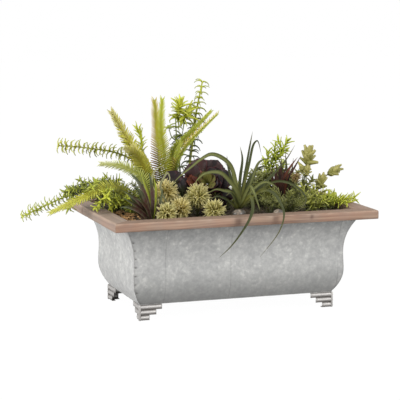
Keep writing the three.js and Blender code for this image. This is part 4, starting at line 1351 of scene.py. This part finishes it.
# Foliage: the stops along a stem, a leaf's foot and tip, how strong these two are, and the roughness.
foliage = {name: finish(name, foliage_paint, *values) for name, *values in (
    ("needle_foliage", ((0.04, 50, 56, 34), (0.35, 124, 134, 46), (0.95, 186, 192, 74)),
     (188, 194, 80), (92, 104, 50), 0.5, 0.5),
    ("shaded_needle_foliage", ((0.04, 48, 54, 34), (0.38, 116, 126, 44), (0.95, 174, 182, 64)),
     (168, 176, 70), (88, 100, 50), 0.5, 0.5),
    ("tall_needle_foliage", ((0.3, 32, 38, 36), (0.5, 66, 78, 46), (0.68, 132, 142, 44), (0.95, 178, 184, 50)),
     (186, 188, 62), (92, 104, 54), 0.5, 0.5),
    ("pale_needle_foliage", ((0.1, 56, 62, 40), (0.4, 100, 108, 48), (0.6, 156, 160, 60), (0.95, 192, 192, 78)),
     (160, 160, 56), (192, 198, 124), 0.4, 0.4),
    ("dark_needle_foliage", ((0.04, 36, 42, 38), (0.5, 84, 96, 50), (0.95, 158, 170, 56)),
     (124, 136, 54), (84, 96, 62), 0.4, 0.45),
    ("tuft_foliage", ((0.04, 108, 118, 38), (0.4, 166, 174, 46), (0.95, 190, 196, 58)),
     (124, 136, 38), (206, 210, 102), 0.4, 0.4),
    ("crown_foliage", ((0.0, 150, 158, 40), (0.5, 182, 188, 50), (1.0, 204, 208, 70)),
     (146, 146, 36), (206, 210, 96), 0.5, 0.5),
    ("sprig_foliage", ((0.2, 92, 104, 40), (0.5, 148, 160, 44), (0.95, 190, 200, 58)),
     (116, 130, 36), (200, 208, 92), 0.45, 0.4),
    ("fern_foliage", ((0.2, 104, 108, 26), (0.45, 158, 160, 32), (0.7, 190, 188, 66), (0.98, 214, 210, 138)),
     (170, 134, 50), (202, 178, 92), 0.35, 0.45, 0.55),
    ("pink_fern_foliage", ((0.2, 122, 94, 38), (0.5, 180, 160, 60), (0.72, 202, 192, 84), (0.98, 212, 210, 112)),
     (162, 162, 54), (206, 144, 98), 0.4, 0.5, 0.55),
    ("lime_fern_foliage", ((0.2, 104, 108, 28), (0.6, 180, 178, 52), (0.98, 208, 208, 100)),
     (150, 144, 40), (200, 198, 86), 0.35, 0.4, 0.55),
    ("bright_fern_foliage", ((0.2, 104, 116, 26), (0.6, 166, 176, 40), (0.98, 198, 206, 82)),
     (140, 142, 36), (196, 202, 84), 0.4, 0.35, 0.55),
    ("red_fern_foliage", ((0.2, 124, 82, 30), (0.5, 178, 146, 40), (0.72, 192, 178, 52), (0.98, 200, 196, 74)),
     (152, 150, 36), (206, 116, 60), 0.4, 0.45, 0.55),
    ("olive_fern_foliage", ((0.2, 96, 100, 18), (0.55, 168, 170, 26), (0.98, 196, 204, 66)),
     (134, 136, 24), (196, 192, 66), 0.35, 0.4, 0.55),
    ("pale_fern_foliage", ((0.2, 142, 150, 56), (0.6, 198, 204, 104), (0.98, 226, 228, 168)),
     (178, 180, 76), (220, 224, 154), 0.4, 0.4, 0.6),
    ("sedum_foliage", ((0.4, 138, 136, 62), (0.7, 166, 160, 84), (1.0, 190, 178, 102)),
     (116, 92, 44), (226, 216, 162), 0.6, 0.85, 0.6),
    # A lighter copy of the sedum foliage: painted light for the balls that the others shade.
    ("light_sedum_foliage", ((0.4, 158, 150, 72), (0.7, 190, 176, 98), (1.0, 210, 194, 118)),
     (150, 112, 58), (236, 224, 172), 0.6, 0.85, 0.6),
    ("tan_sedum_foliage", ((0.4, 146, 114, 68), (1.0, 160, 134, 84)),
     (108, 84, 48), (178, 156, 104), 0.5, 0.6, 0.6),
    ("pale_rosette_leaf", ((0.5, 98, 102, 48), (0.8, 142, 140, 68), (1.0, 160, 154, 84)),
     (98, 102, 44), (184, 174, 114), 0.55, 0.5, 0.6),
    ("olive_foliage", ((0.04, 60, 64, 34), (0.5, 108, 112, 50), (0.95, 146, 150, 78)),
     (76, 82, 40), (158, 162, 96), 0.5, 0.5),
    ("lime_foliage", ((0.04, 80, 84, 36), (0.5, 136, 140, 52), (0.95, 168, 170, 72)),
     (104, 110, 42), (188, 188, 108), 0.5, 0.45),
)}

# Blades: the stops from foot to tip, the edge, the stripe of some blades, the bloom, and the roughness.
blades = {name: finish(name, blade_paint, *values) for name, *values in (
    ("agave_leaf", ((0.0, 54, 30, 31), (0.42, 74, 44, 38), (0.6, 66, 68, 40), (1.0, 84, 98, 62)),
     (122, 124, 80), (172, 180, 48), (96, 104, 80), 0.46),
    ("air_plant_leaf",
     ((0.0, 62, 60, 28), (0.12, 106, 107, 42), (0.28, 60, 66, 29), (0.65, 58, 63, 31), (1.0, 96, 92, 56)),
     (86, 90, 50), (110, 114, 62), (76, 80, 52), 0.68),
    ("pale_blade_leaf", ((0.0, 104, 106, 66), (0.5, 142, 142, 98), (1.0, 172, 164, 128)),
     (170, 166, 128), (160, 160, 112), (186, 180, 148), 0.6),
    ("red_blade_leaf", ((0.0, 20, 18, 16), (0.4, 36, 23, 19), (0.65, 66, 34, 25), (1.0, 54, 34, 30)),
     (84, 48, 36), (106, 58, 38), (66, 48, 40), 0.5),
)}

# The planter
for quarter in range(4):
    halves = (HALF_LENGTH, HALF_DEPTH) if quarter % 2 == 0 else (HALF_DEPTH, HALF_LENGTH)
    tin_wall(quarter, *halves)
    timber_rail(quarter, *halves)
foot("foot_front_left", -1, -1)
foot("foot_front_right", 1, -1)
foot("foot_back_right", 1, 1)
foot("foot_back_left", -1, 1)

foam_look = finish("foam", foam)
kept_pieces = (
    ("base_plate", tin), ("foam_block", foam_look), ("rivet_", fastener_metal), ("rim_screw_", fastener_metal),
)
for thing in bpy.context.scene.objects:
    for start, look in kept_pieces:
        if thing.type == "MESH" and thing.name.startswith(start):
            thing.data.materials.clear()
            thing.data.materials.append(look)

# Leaf sets: shapes to pick from, a seed, and the leaves, with sizes in millimetres.
stem_tree = leafy_stem_tree()
surface_tree = covered_surface_tree()
needles = leaf_set(
    "needle_whorl", 4, 51, whorl(6, 0.55, (20, 5.4, 4.4), (1.0, 2.1), (1.0, 0.85, 0.15), sides=4))
curled_needles = leaf_set(
    "curled_needle_whorl", 4, 58, whorl(5, 0.8, (30, 6.4, 5.2), (1.0, 2.4), (1.0, 0.8, 0.12), steps=6, sides=4))
fine_needles = leaf_set("fine_needle_whorl", 4, 52, whorl(5, 0.8, (15, 3.2, 2.0), (-0.2, 0.6)))
tuft_whorls = leaf_set("tuft_whorl", 4, 53, whorl(4, 0.75, (19, 6.0, 4.2), (0.1, 1.2), (0.8, 1.0, 0.2), sides=4))
tuft_leaves = leaf_set("tuft_leaf", 4, 54, single((18, 6.2, 4.0), (-0.3, 0.6), (0.6, 1.0, 0.15), sides=4))
crown_leaves = leaf_set(
    "crown_leaf", 5, 59, single((24, 7.0, 4.6), (-0.6, 0.7), (0.7, 1.0, 0.12), steps=5, sides=4))
star_leaves = leaf_set("star_leaf", 4, 55, single((STAR_LEAF, 2.5, 1.6), (-0.6, 0.6), (0.7, 1.0, 0.15), sides=4))
bud_leaves = leaf_set("bud_leaf", 4, 56, single((BUD_LEAF, 11.5, 8.0), (-0.5, 0.1), (0.7, 1.0, 0.2), sides=6))
fern_leaflets = leaf_set(
    "fern_leaflet", 4, 57, single((15, 3.7, 1.6), (0.12, 0.28), (0.95, 0.95, 0.35), sweep=0.08, flat="Y"))
narrow_leaflets = leaf_set(
    "narrow_leaflet", 4, 60, single((15, 3.4, 1.5), (0.12, 0.28), (0.95, 0.95, 0.4), sweep=0.08, flat="Y"))
moss_fibres = leaf_set("moss_fibre", 4, 5, single((11, 0.9, 0.5), (1.0, 2.6), (0.8, 1, 0.5)))

# Bed
plant("moss_cover", "moss", "moss_bed", covered(
    bed_cover(), moss_fibres, moss_look, seed=21, gap=5.4, density=60000, lean=1.35, size=1, spread=0.4,
))
pebble("pebble_left", 151)
pebble("pebble_right", 152)
chip_pile("wood_chip_corner", 153)
chip_pile("wood_chip_side", 154)
scattered("loose_chips", 155, (-256, -200, -96, 36), ((5, 10), (2, 4.5), (1.2, 2.6)), chip_look, "wood_chip")
scattered("gravel", 156, (40, 268, -166, -122), ((2, 5), (1.8, 4), (1.4, 3)), stone_look, "pebble")

# Needle-leaved stems
plant("needle_stem_tall_leaves", "needle_foliage", "needle_stem_tall", leafy(
    [(4.2, (-43, 84, -2), (-43, 84, 92), (-38, 82, 134), (-32, 76, 201), (-20, 64, 283))],
    curled_needles, "tall_needle_foliage", seed=3, gap=12.5, turn=0.55, sizes=(0.75, 0.98, 0.66),
))
plant(
    "needle_stem_tuft_leaves", "needle_foliage", "needle_stem_tuft",
    leafy([
        (2.6, (-70, 64, -2), (-74, 64, 97), (-82, 64, 168), (-84, 64, 204)),
        (1.6, (-78, 64, 130), (-70, 62, 160), (-64, 60, 190)),
        (1.6, (-80, 64, 150), (-94, 60, 160), (-102, 58, 182)),
    ], curled_needles, "dark_needle_foliage", seed=5, gap=22, turn=0.8, sizes=(0.7, 0.85, 0.75)),
    leafy([
        (2.4, (-83, 60, 204), (-78, 59, 218), (-74, 58, 236)),
        (1.8, (-68, 56, 200), (-63, 55, 208), (-58, 54, 216)),
    ], crown_leaves, "crown_foliage", seed=6, gap=0.95, turn=GOLDEN_TURN,
        sizes=(1.0, 1.3, 1.1), leans=(2.1, 0.3), spreads=(0.25, 0.3)),
)
plant(
    "needle_stems_back_left_leaves", "needle_foliage", "needle_stems_back_left",
    leafy([(2.8, (-128, 78, -2), (-146, 82, 84), (-205, 96, 121), (-281, 104, 137), (-344, 108, 144))],
          needles, "pale_needle_foliage", seed=9, gap=9.5, turn=0.5, sizes=(0.8, 1.0, 0.9)),
    leafy([(3.6, (-128, 78, -2), (-138, 92, 95), (-153, 99, 131), (-155, 99, 160), (-163, 99, 176))],
          crown_leaves, "tuft_foliage", seed=10, gap=2.2, turn=GOLDEN_TURN,
          sizes=(1, 0.95, 0.8), leans=(1.9, 0.25), bare=0.7),
)

long = [(-185, 52, -2), (-235, 48, 57), (-281, 44, 54), (-341, 34, 42), (-400, 24, 22), (-450, 13, 4)]
upper = [(-185, 52, -2), (-214, 46, 50), (-250, 44, 63), (-290, 42, 64)]
branches = [
    *side_stems(upper, count=16, seed=14, reach=34, spread=0.7, rise=-0.3, start=0.25),
    *side_stems(long[:4], count=10, seed=15, reach=26, spread=0.7, rise=0.0, start=0.3),
]
tips = ((-286, -20, 60), (-313, -20, 49), (-343, -20, 36), (-372, -20, 24), (-396, -20, 14))
plant(
    "needle_stems_left_leaves", "needle_foliage", "needle_stems_left",
    leafy([(2.8, *long)], needles, "needle_foliage", seed=16, gap=9, turn=0.5, sizes=(0.7, 0.9, 0.75)),
    leafy([(2.2, *upper), *branches], tuft_whorls, "shaded_needle_foliage",
          seed=18, gap=8, turn=0.5, sizes=(0.8, 0.85, 0.8)),
    fern_frond([(-200, -6, -2), (-228, -12, 56), (-258, -18, 66), *tips], seed=17, size=1.05,
               look="lime_fern_foliage", facing=Vector((-0.2, -0.75, 0.6)).normalized()),
)
upper = [(-205, -14, -2), (-240, -10, 36), (-284, -4, 50), (-322, -2, 60), (-342, -2, 56)]
lower = [(-205, -14, -2), (-238, -34, 32), (-264, -42, 41), (-290, -48, 38)]
upper_stems = [(2.2, *upper), *side_stems(upper, count=9, seed=24, reach=32, spread=0.7, rise=-0.2, start=0.4)]
lower_stems = [(2.2, *lower), *side_stems(lower, count=9, seed=25, reach=22, spread=0.8, rise=0.1, start=0.35)]
plant(
    "needle_stems_front_left_leaves", "needle_foliage", "needle_stems_front_left",
    leafy(upper_stems, tuft_whorls, "shaded_needle_foliage", seed=26, gap=8, turn=0.5, sizes=(0.8, 0.85, 0.8)),
    leafy(lower_stems, tuft_whorls, "tuft_foliage", seed=27, gap=9.5, turn=0.6, sizes=(0.7, 0.85, 0.85)),
)

# Ferns
plant(
    "fern_left_fronds", "fern_foliage", "fern_left",
    fern_frond([(-155, 20, -2), (-172, 24, 92), (-189, 24, 126), (-214, 22, 170), (-248, 14, 224)],
               seed=31, size=1.25),
    fern_frond([(-155, 20, -2), (-174, 14, 71), (-196, 10, 90), (-230, 2, 106), (-280, -8, 114)], seed=32, size=1.0,
               look="pale_fern_foliage"),
    fern_frond([(-155, 20, -2), (-172, 12, 88), (-198, -8, 130), (-233, -36, 150)], seed=33, size=1.2),
    fern_frond([(-155, 20, -2), (-165, 16, 70), (-178, 14, 112), (-200, 12, 150)], seed=34, size=1.0),
)
plant(
    "fern_middle_fronds", "fern_foliage", "fern_middle",
    fern_frond([(-126, 26, -2), (-136, 28, 118), (-140, 26, 183), (-148, 20, 246)], seed=41, size=1.12,
               look="red_fern_foliage", leaflets=narrow_leaflets, gap=2.4),
    fern_frond([(-129, 24, -2), (-126, 12, 115), (-137, 8, 183), (-136, 2, 250)], seed=42, size=1.0,
               look="olive_fern_foliage", leaflets=narrow_leaflets, gap=2.05),
)
rear = [
    (-104, 30, -2), (-104, 38, 110), (-91, 40, 140), (-67, 41, 161), (-43, 43, 183), (-22, 46, 201), (-4, 50, 217),
]
near = [
    (-98, 30, -2), (-98, 22, 96), (-87, 22, 123), (-63, 22, 154), (-43, 23, 172), (-19, 25, 193), (4, 28, 212),
]
plant(
    "fern_right_fronds", "fern_foliage", "fern_right",
    fern_frond(rear, seed=51, size=0.66, look="bright_fern_foliage", gap=1.0),
    fern_frond(near, seed=52, size=0.9, look="pink_fern_foliage", gap=4.8, turn=0.0, facing=-TO_VIEWER),
    fern_frond(near, seed=54, size=0.42, look="bright_fern_foliage", gap=0.8),
    fern_frond([(-94, 30, -2), (-100, 26, 70), (-96, 24, 120), (-84, 26, 150)], seed=53, size=0.8,
               look="bright_fern_foliage"),
)

# Blades
strap_plant("agave_blades", "agave_leaf", "agave", [
    (5.5, (-198, -116, -2), (-212, -114, 57), (-228, -110, 89), (-244, -104, 106)),
    (6, (-198, -116, -2), (-204, -111, 56), (-213, -106, 84), (-219, -104, 104)),
    (5.5, (-198, -116, -2), (-196, -116, 56), (-200, -116, 85), (-204, -116, 106)),
    (5.5, (-198, -116, -2), (-228, -121, 44), (-249, -126, 60), (-269, -131, 72)),
    (5, (-198, -116, -2), (-229, -126, 32), (-252, -134, 47), (-269, -138, 57)),
    (6, (-198, -116, -2), (-231, -131, 26), (-258, -138, 37), (-279, -144, 38)),
    (6, (-200, -110, -2), (-206, -100, 50), (-222, -92, 84), (-236, -88, 98)),
    (5.5, (-194, -112, -2), (-186, -104, 40), (-184, -100, 70), (-188, -98, 92)),
    (5, (-198, -120, -2), (-216, -134, 34), (-232, -142, 50), (-246, -148, 56)),
    (5, (-192, -118, -2), (-182, -122, 36), (-178, -124, 58)),
    (5, (-196, -108, -2), (-198, -100, 44), (-208, -94, 72), (-224, -88, 84)),
    (5, (-202, -120, -2), (-214, -126, 40), (-226, -130, 66), (-242, -134, 78)),
    (4.6, (-190, -114, -2), (-178, -112, 40), (-170, -110, 74)),
    (5.5, (-210, -112, -2), (-230, -112, 36), (-250, -114, 58)),
    (5.5, (-212, -116, -2), (-226, -120, 30), (-246, -126, 46)),
    (5.5, (-206, -108, -2), (-216, -106, 44), (-230, -104, 82)),
    (5, (-214, -120, -2), (-232, -126, 22), (-254, -134, 32)),
], seed=61, hollow=0.45, foot=0.6, striped=(1, 7), width=0.82)


def over_rim(x, clear, height):
    return (x, RIM_FRONT - clear, RIM_TOP + height)


air_leaves = fan(
    (7, -102, 12),
    (3.9, (20, -96, 70), (40, -82, 150), (48, -78, 182)),
    (3.6, (29, -104, 109), (41, -104, 158), (50, -102, 164), (62, -98, 130)),
    (6.2, (0, -107, 60), (-14, -108, 110), (-35, -110, 130), (-61, -111, 139), (-84, -110, 129),
     (-109, -110, 111), (-132, -110, 94), (-152, -112, 76)),
    (6.2, (3, -112, 47), (-29, -121, 88), (-46, -124, 100), (-66, -126, 102), (-83, -128, 99),
     (-98, -130, 89), (-108, -130, 74)),
    (5, (-14, -116, 53), (-35, -120, 60), (-56, -126, 64), (-80, -132, 55)),
    (4.5, (14, -150, 49), over_rim(2, 3, 20), over_rim(-12, 21, 0), over_rim(-33, 27, -28),
     over_rim(-59, 30, -57), over_rim(-85, 30, -79)),
    (4.5, (22, -130, 68), (24, -150, 57), (27, -166, 35), (28, -176, 21)),
    (4.3, (43, -148, 60), over_rim(58, -22, 48), over_rim(68, 2, 26), over_rim(69, 17, 4),
     over_rim(54, 27, -30), over_rim(9, 31, -82)),
    (3.5, (46, -102, 46), (93, -104, 72), (119, -124, 70), (134, -146, 58), (138, -172, 42),
     over_rim(121, -5, 15), over_rim(88, 6, 4)),
    (5, (42, -90, 73), (64, -80, 114), (97, -76, 122)),
    (4.5, (35, -94, 34), (71, -82, 62), (108, -68, 89), (140, -56, 116), (162, -50, 145)),
    (4.5, (-2, -96, 60), (-14, -90, 110), (-16, -88, 132)),
    (4.5, (14, -92, 80), (22, -84, 124), (18, -80, 150)),
    (4.5, (40, -112, 60), (62, -118, 74), (88, -120, 62), (100, -120, 40)),
    (4.5, (26, -84, 50), (60, -66, 92), (86, -56, 100), (110, -54, 88)),
    (4, (-6, -122, 36), (-24, -136, 56), (-40, -146, 52)),
    (4, (10, -80, 60), (4, -64, 96), (-10, -56, 112)),
    (4, (32, -88, 44), (52, -74, 72), (80, -64, 76)),
    (3.6, (-20, -104, 36), (-46, -108, 46), (-70, -112, 36)),
)
AIR_WIDTH = 0.76  # of the leaves, and the crown keeps its own
crown = (7 / AIR_WIDTH, (7, -102, -2), (7, -102, 8), (7, -102, 22))
strap_plant("air_plant_leaves", "air_plant_leaf", "air_plant", [*air_leaves, crown],
            seed=71, hollow=0.4, foot=0.7, striped=(2, 3, 4, 6, 9, 13), width=AIR_WIDTH)
strap_plant("air_plant_curls", "air_plant_leaf", "air_plant", [
    (2.3, (-152, -96, 20), (-186, -92, 60), (-190, -90, 88), (-182, -90, 106), (-168, -90, 114), (-160, -90, 108)),
    (2.2, (-150, -96, 20), (-168, -84, 70), (-158, -80, 90), (-151, -80, 98), (-146, -80, 90), (-145, -80, 72),
     (-136, -82, 64)),
], seed=72, hollow=0.4, foot=0.7, look="pale_blade_leaf")
strap_plant("red_blade_leaves", "red_blade_leaf", "red_blades", fan(
    (142, -16, -2),
    (3.8, (148, -18, 62), (163, -22, 92), (179, -26, 114)),
    (3.4, (160, -12, 61), (177, -14, 90), (192, -16, 116)),
    (4, (137, -22, 81), (137, -24, 98)),
    (3.8, (128, -30, 50), (112, -36, 72)),
    (3.6, (150, -28, 50), (152, -34, 84)),
    (3.6, (126, -12, 50), (118, -10, 84)),
    (3.4, (158, -26, 40), (172, -34, 62)),
    (4, (134, -14, 56), (130, -16, 104)),
    (4.2, (144, -10, 60), (146, -10, 112)),
    (4.2, (150, -6, 52), (158, -8, 94)),
    (4.2, (138, -20, 40), (144, -24, 76)),
    (4, (130, -8, 44), (124, -4, 92)),
    (4, (152, -14, 44), (166, -16, 82)),
    (4.2, (146, -2, 40), (152, 2, 86)),
    (4.2, (136, -2, 40), (136, 4, 84)),
    (4, (150, -22, 34), (160, -28, 60)),
    (5.5, (132, -26, 46), (126, -30, 84)),
    (5.5, (140, -30, 46), (140, -34, 86)),
    (5.5, (126, -20, 40), (116, -24, 66)),
), seed=81, hollow=0.3, foot=0.7, striped=(0, 4, 12))
strap_plant("grey_blade_leaves", "air_plant_leaf", "grey_blades", fan(
    (184, 40, -2),
    (4.5, (182, 42, 60), (178, 44, 118)),
    (4, (190, 40, 50), (196, 38, 104)),
    (4.5, (172, 36, 54), (156, 34, 92)),
    (4, (176, 46, 66), (162, 50, 108)),
    (4, (166, 30, 50), (140, 24, 92)),
    (4, (180, 30, 50), (172, 24, 84)),
    (3.6, (196, 34, 46), (208, 30, 82)),
    (4, (172, 44, 40), (150, 48, 70)),
), seed=82, hollow=0.3, foot=0.8)

# Dark rosette: its head, then loose leaves, each with its foot, its heading and its shade.
rosette = Form("along", "across", "shade")
rosette_head(rosette)
for length, width, *leaves in (
    (
        32, 31,
        ((-122, -36, 66), (-0.35, 0.1, 0.95), 0.12),
        ((-122, -36, 66), (-0.8, 0.1, 0.6), 0.2),
        ((-122, -36, 66), (0.25, 0.0, 0.95), 0.3),
        ((-102, -30, 50), (-0.2, 0.1, 1.0), 0.08),
        ((-102, -30, 50), (0.5, 0.0, 0.9), 0.24),
        ((-102, -30, 50), (-0.8, 0.0, 0.5), 0.32),
        ((-92, -32, 38), (0.2, 0.0, 1.0), 0.4),
        ((-34, -58, 34), (0.9, -0.3, 0.2), 0.1),
        ((-34, -58, 34), (0.8, -0.3, -0.5), 0.26),
        ((-30, -52, 44), (0.9, 0.0, 0.5), 0.04),
        ((-40, -62, 26), (0.3, -0.5, -0.7), 0.16),
        ((-24, -44, 52), (0.9, 0.1, 0.1), 0.18),
        ((-54, -60, 24), (-0.4, -0.5, -0.6), 0.3),
        ((-14, -50, 30), (0.7, -0.2, 0.6), 0.34),
    ),
    (
        42, 38,
        ((-62, -30, 72), (-0.5, 0.2, 0.85), 0.5),
        ((-54, -28, 80), (-0.15, 0.2, 0.95), 0.56),
        ((-26, -26, 70), (0.75, 0.1, 0.66), 0.06),
        ((-30, -24, 78), (0.45, 0.1, 0.9), 0.14),
    ),
):
    for k, (start, heading, shade) in enumerate(leaves):
        heading = Vector(heading).normalized()
        broad_leaf(rosette, over_moss(start), heading, -TO_VIEWER, length * MM, width * MM,
                   cup=0.3, curl=0.12, shade=shade, wave=0.12, seed=length + k)
tube(rosette, ((-40, -24, -2), (-40, -26, 20), (-41, -30, 50), (-42, -34, 60)), 5 * MM)
tube(rosette, ((-112, -30, -2), (-116, -32, 30), (-122, -36, 68)), 3.4 * MM)
tube(rosette, ((-96, -28, -2), (-98, -29, 20), (-101, -30, 50)), 3.4 * MM)
finished("dark_rosette_leaves", rosette, rosette_look, "dark_rosette_leaf", "rosette", sharp=60)

# Sedum balls, some on a stem from a point under them
for name, seed, radius, centre, foot_point, look in (
    # The back left and middle balls take the lighter copy of the foliage as painted light.
    ("sedum_ball_back_left", 91, 30, (-148, -60, 53), (-150, -60, -2), "light_sedum_foliage"),
    ("sedum_ball_back_right", 92, 29, (-84, -92, 46), (-84, -92, -2), "sedum_foliage"),
    ("sedum_ball_middle", 93, 27, (-131, -108, 23), None, "light_sedum_foliage"),
    ("sedum_ball_front_left", 94, 25, (-170, -136, 19), None, "sedum_foliage"),
    ("sedum_ball_front_right", 95, 26, (-62, -134, 20), None, "sedum_foliage"),
    ("sedum_ball_tan", 96, 14, (168, -44, 70), (170, -46, -2), "tan_sedum_foliage"),
):
    meshes = [leafy_ball(centre, radius, look, seed)]
    if foot_point:
        stem = (1.8, foot_point, [(a + b) / 2 for a, b in zip(centre, foot_point)], centre)
        meshes.append(leafy([stem], fine_needles, "olive_foliage", seed, gap=4.5, turn=0.8, sizes=(1.0, 1.1, 0.9)))
    plant(name + "_leaves", "sedum_foliage", name, *meshes)

# Pale rosettes
plant(
    "pale_rosette_stem_back_heads", "pale_rosette_leaf", "pale_rosette_stem_back",
    pale_head([(217, 42, -2), (226, 36, 72), (229, 32, 94), (231, 31, 114)],
              seed=101, reach=28, share=0.2, open_lean=1.2),
    pale_head([(217, 42, -2), (219, 36, 52), (219, 30, 80)],
              seed=105, reach=21, share=0.1, open_lean=1.6, tip_lean=0.9),
)
plant(
    "pale_rosette_stem_front_heads", "pale_rosette_leaf", "pale_rosette_stem_front",
    pale_head([(228, 6, -2), (216, 6, 50), (214, 5, 66), (216, 2, 78)],
              seed=102, reach=15, share=0.16, open_lean=1.4),
    pale_head([(228, 6, -2), (244, 10, 36), (262, 9, 60), (278, 7, 72), (288, 5, 78)],
              seed=103, reach=21, share=0.2, open_lean=1.1),
    pale_head([(228, 6, -2), (240, 2, 28), (246, -4, 44), (248, -6, 56)],
              seed=104, reach=22, share=0.32, open_lean=1.5),
)

# Tufts, sprigs and the stems at the right
plant("olive_tuft_leaves", "lime_foliage", "olive_tuft", leafy(fan(
    (119, -112, -2),
    (1.6, (88, -124, 26), (56, -132, 42)),
    (1.6, (116, -122, 30), (119, -126, 50)),
    (1.6, (140, -122, 28), (156, -128, 40)),
    (1.6, (100, -130, 24), (86, -138, 36)),
    (1.6, (130, -128, 20), (138, -140, 26)),
    (1.6, (104, -104, 34), (92, -98, 52)),
), fine_needles, "olive_foliage", seed=111, gap=4.5, turn=0.8, sizes=(1.0, 1.1, 0.8)))
plant("lime_sprig_leaves", "lime_foliage", "lime_sprigs", leafy([
    (1.8, (156, 86, -2), (158, 88, 82), (172, 88, 104), (184, 86, 124), (177, 84, 139)),
    (1.8, (156, 86, -2), (164, 82, 82), (182, 80, 110), (199, 80, 139)),
    (1.8, (158, 87, 66), (150, 84, 94), (152, 82, 116)),
    (1.8, (160, 86, 90), (176, 84, 104), (196, 84, 118)),
    (1.8, (158, 84, -2), (150, 78, 60), (140, 74, 90)),
    (1.8, (160, 84, -2), (170, 74, 62), (184, 68, 88)),
    (1.8, (158, 86, 78), (166, 84, 106), (169, 84, 130)),
], tuft_leaves, "sprig_foliage", seed=121, gap=3.3, turn=GOLDEN_TURN,
    sizes=(0.9, 1.12, 1.0), leans=(1.2, 0.5), bare=0.3))
plant("lime_tuft_leaves", "lime_foliage", "lime_tuft", leafy(fan(
    (182, -104, -2),
    (1.8, (164, -106, 36), (156, -108, 58)),
    (1.8, (194, -108, 34), (209, -112, 47)),
    (1.8, (180, -110, 30), (182, -114, 54)),
    (1.8, (172, -122, 22), (164, -130, 34)),
    (1.8, (196, -120, 20), (206, -130, 28)),
    (1.8, (186, -92, 30), (192, -84, 50)),
), tuft_leaves, "lime_foliage", seed=131, gap=3.4, turn=GOLDEN_TURN, sizes=(0.9, 1.0, 0.9), leans=(1.1, 0.6)))
plant("needle_stems_right_leaves", "needle_foliage", "needle_stems_right", leafy(fan(
    (232, -48, -2),
    (1.8, (270, -34, 13), (303, -27, 15), (322, -24, 14)),
    (1.8, (240, -60, 20), (262, -70, 22), (285, -79, 19)),
    (1.8, (222, -50, 22), (234, -52, 27), (252, -50, 25)),
    (1.8, (252, -52, 14), (276, -58, 14), (300, -62, 12)),
    (1.8, (236, -80, 16), (250, -100, 20), (262, -112, 18)),
    (1.8, (214, -70, 20), (212, -94, 26)),
    (1.8, (256, -20, 18), (276, -6, 20)),
), tuft_whorls, "tuft_foliage", seed=141, gap=9, turn=0.7, sizes=(0.9, 1.0, 0.85)))

# Low foliage that closes the gaps between the plants
for name, count, seed, spread, heights, leaves, look in (
    ("low_foliage_left", 30, 201, (-240, -150, -10, 130), (18, 36, 0), tuft_whorls, "shaded_needle_foliage"),
    ("low_foliage_back", 34, 202, (-160, 40, 40, 140), (26, 60, 0), fine_needles, "olive_foliage"),
    ("low_foliage_middle", 26, 203, (-150, 30, -60, 50), (20, 46, 0), fine_needles, "olive_foliage"),
    ("low_foliage_right", 44, 204, (50, 250, 10, 140), (20, 40, 0.5), tuft_whorls, "lime_foliage"),
    ("low_foliage_back_right", 24, 206, (112, 250, 46, 125), (46, 84, 0.25), tuft_whorls, "olive_foliage"),
    ("low_foliage_front_right", 26, 205, (60, 250, -110, 10), (14, 32, 0.3), fine_needles, "olive_foliage"),
):
    stems = low_stems(count, seed, *spread, *heights)
    plant(name, "lime_foliage", None, leafy(stems, leaves, look, seed, gap=7.5, turn=0.8, sizes=(0.9, 0.95, 0.8)))
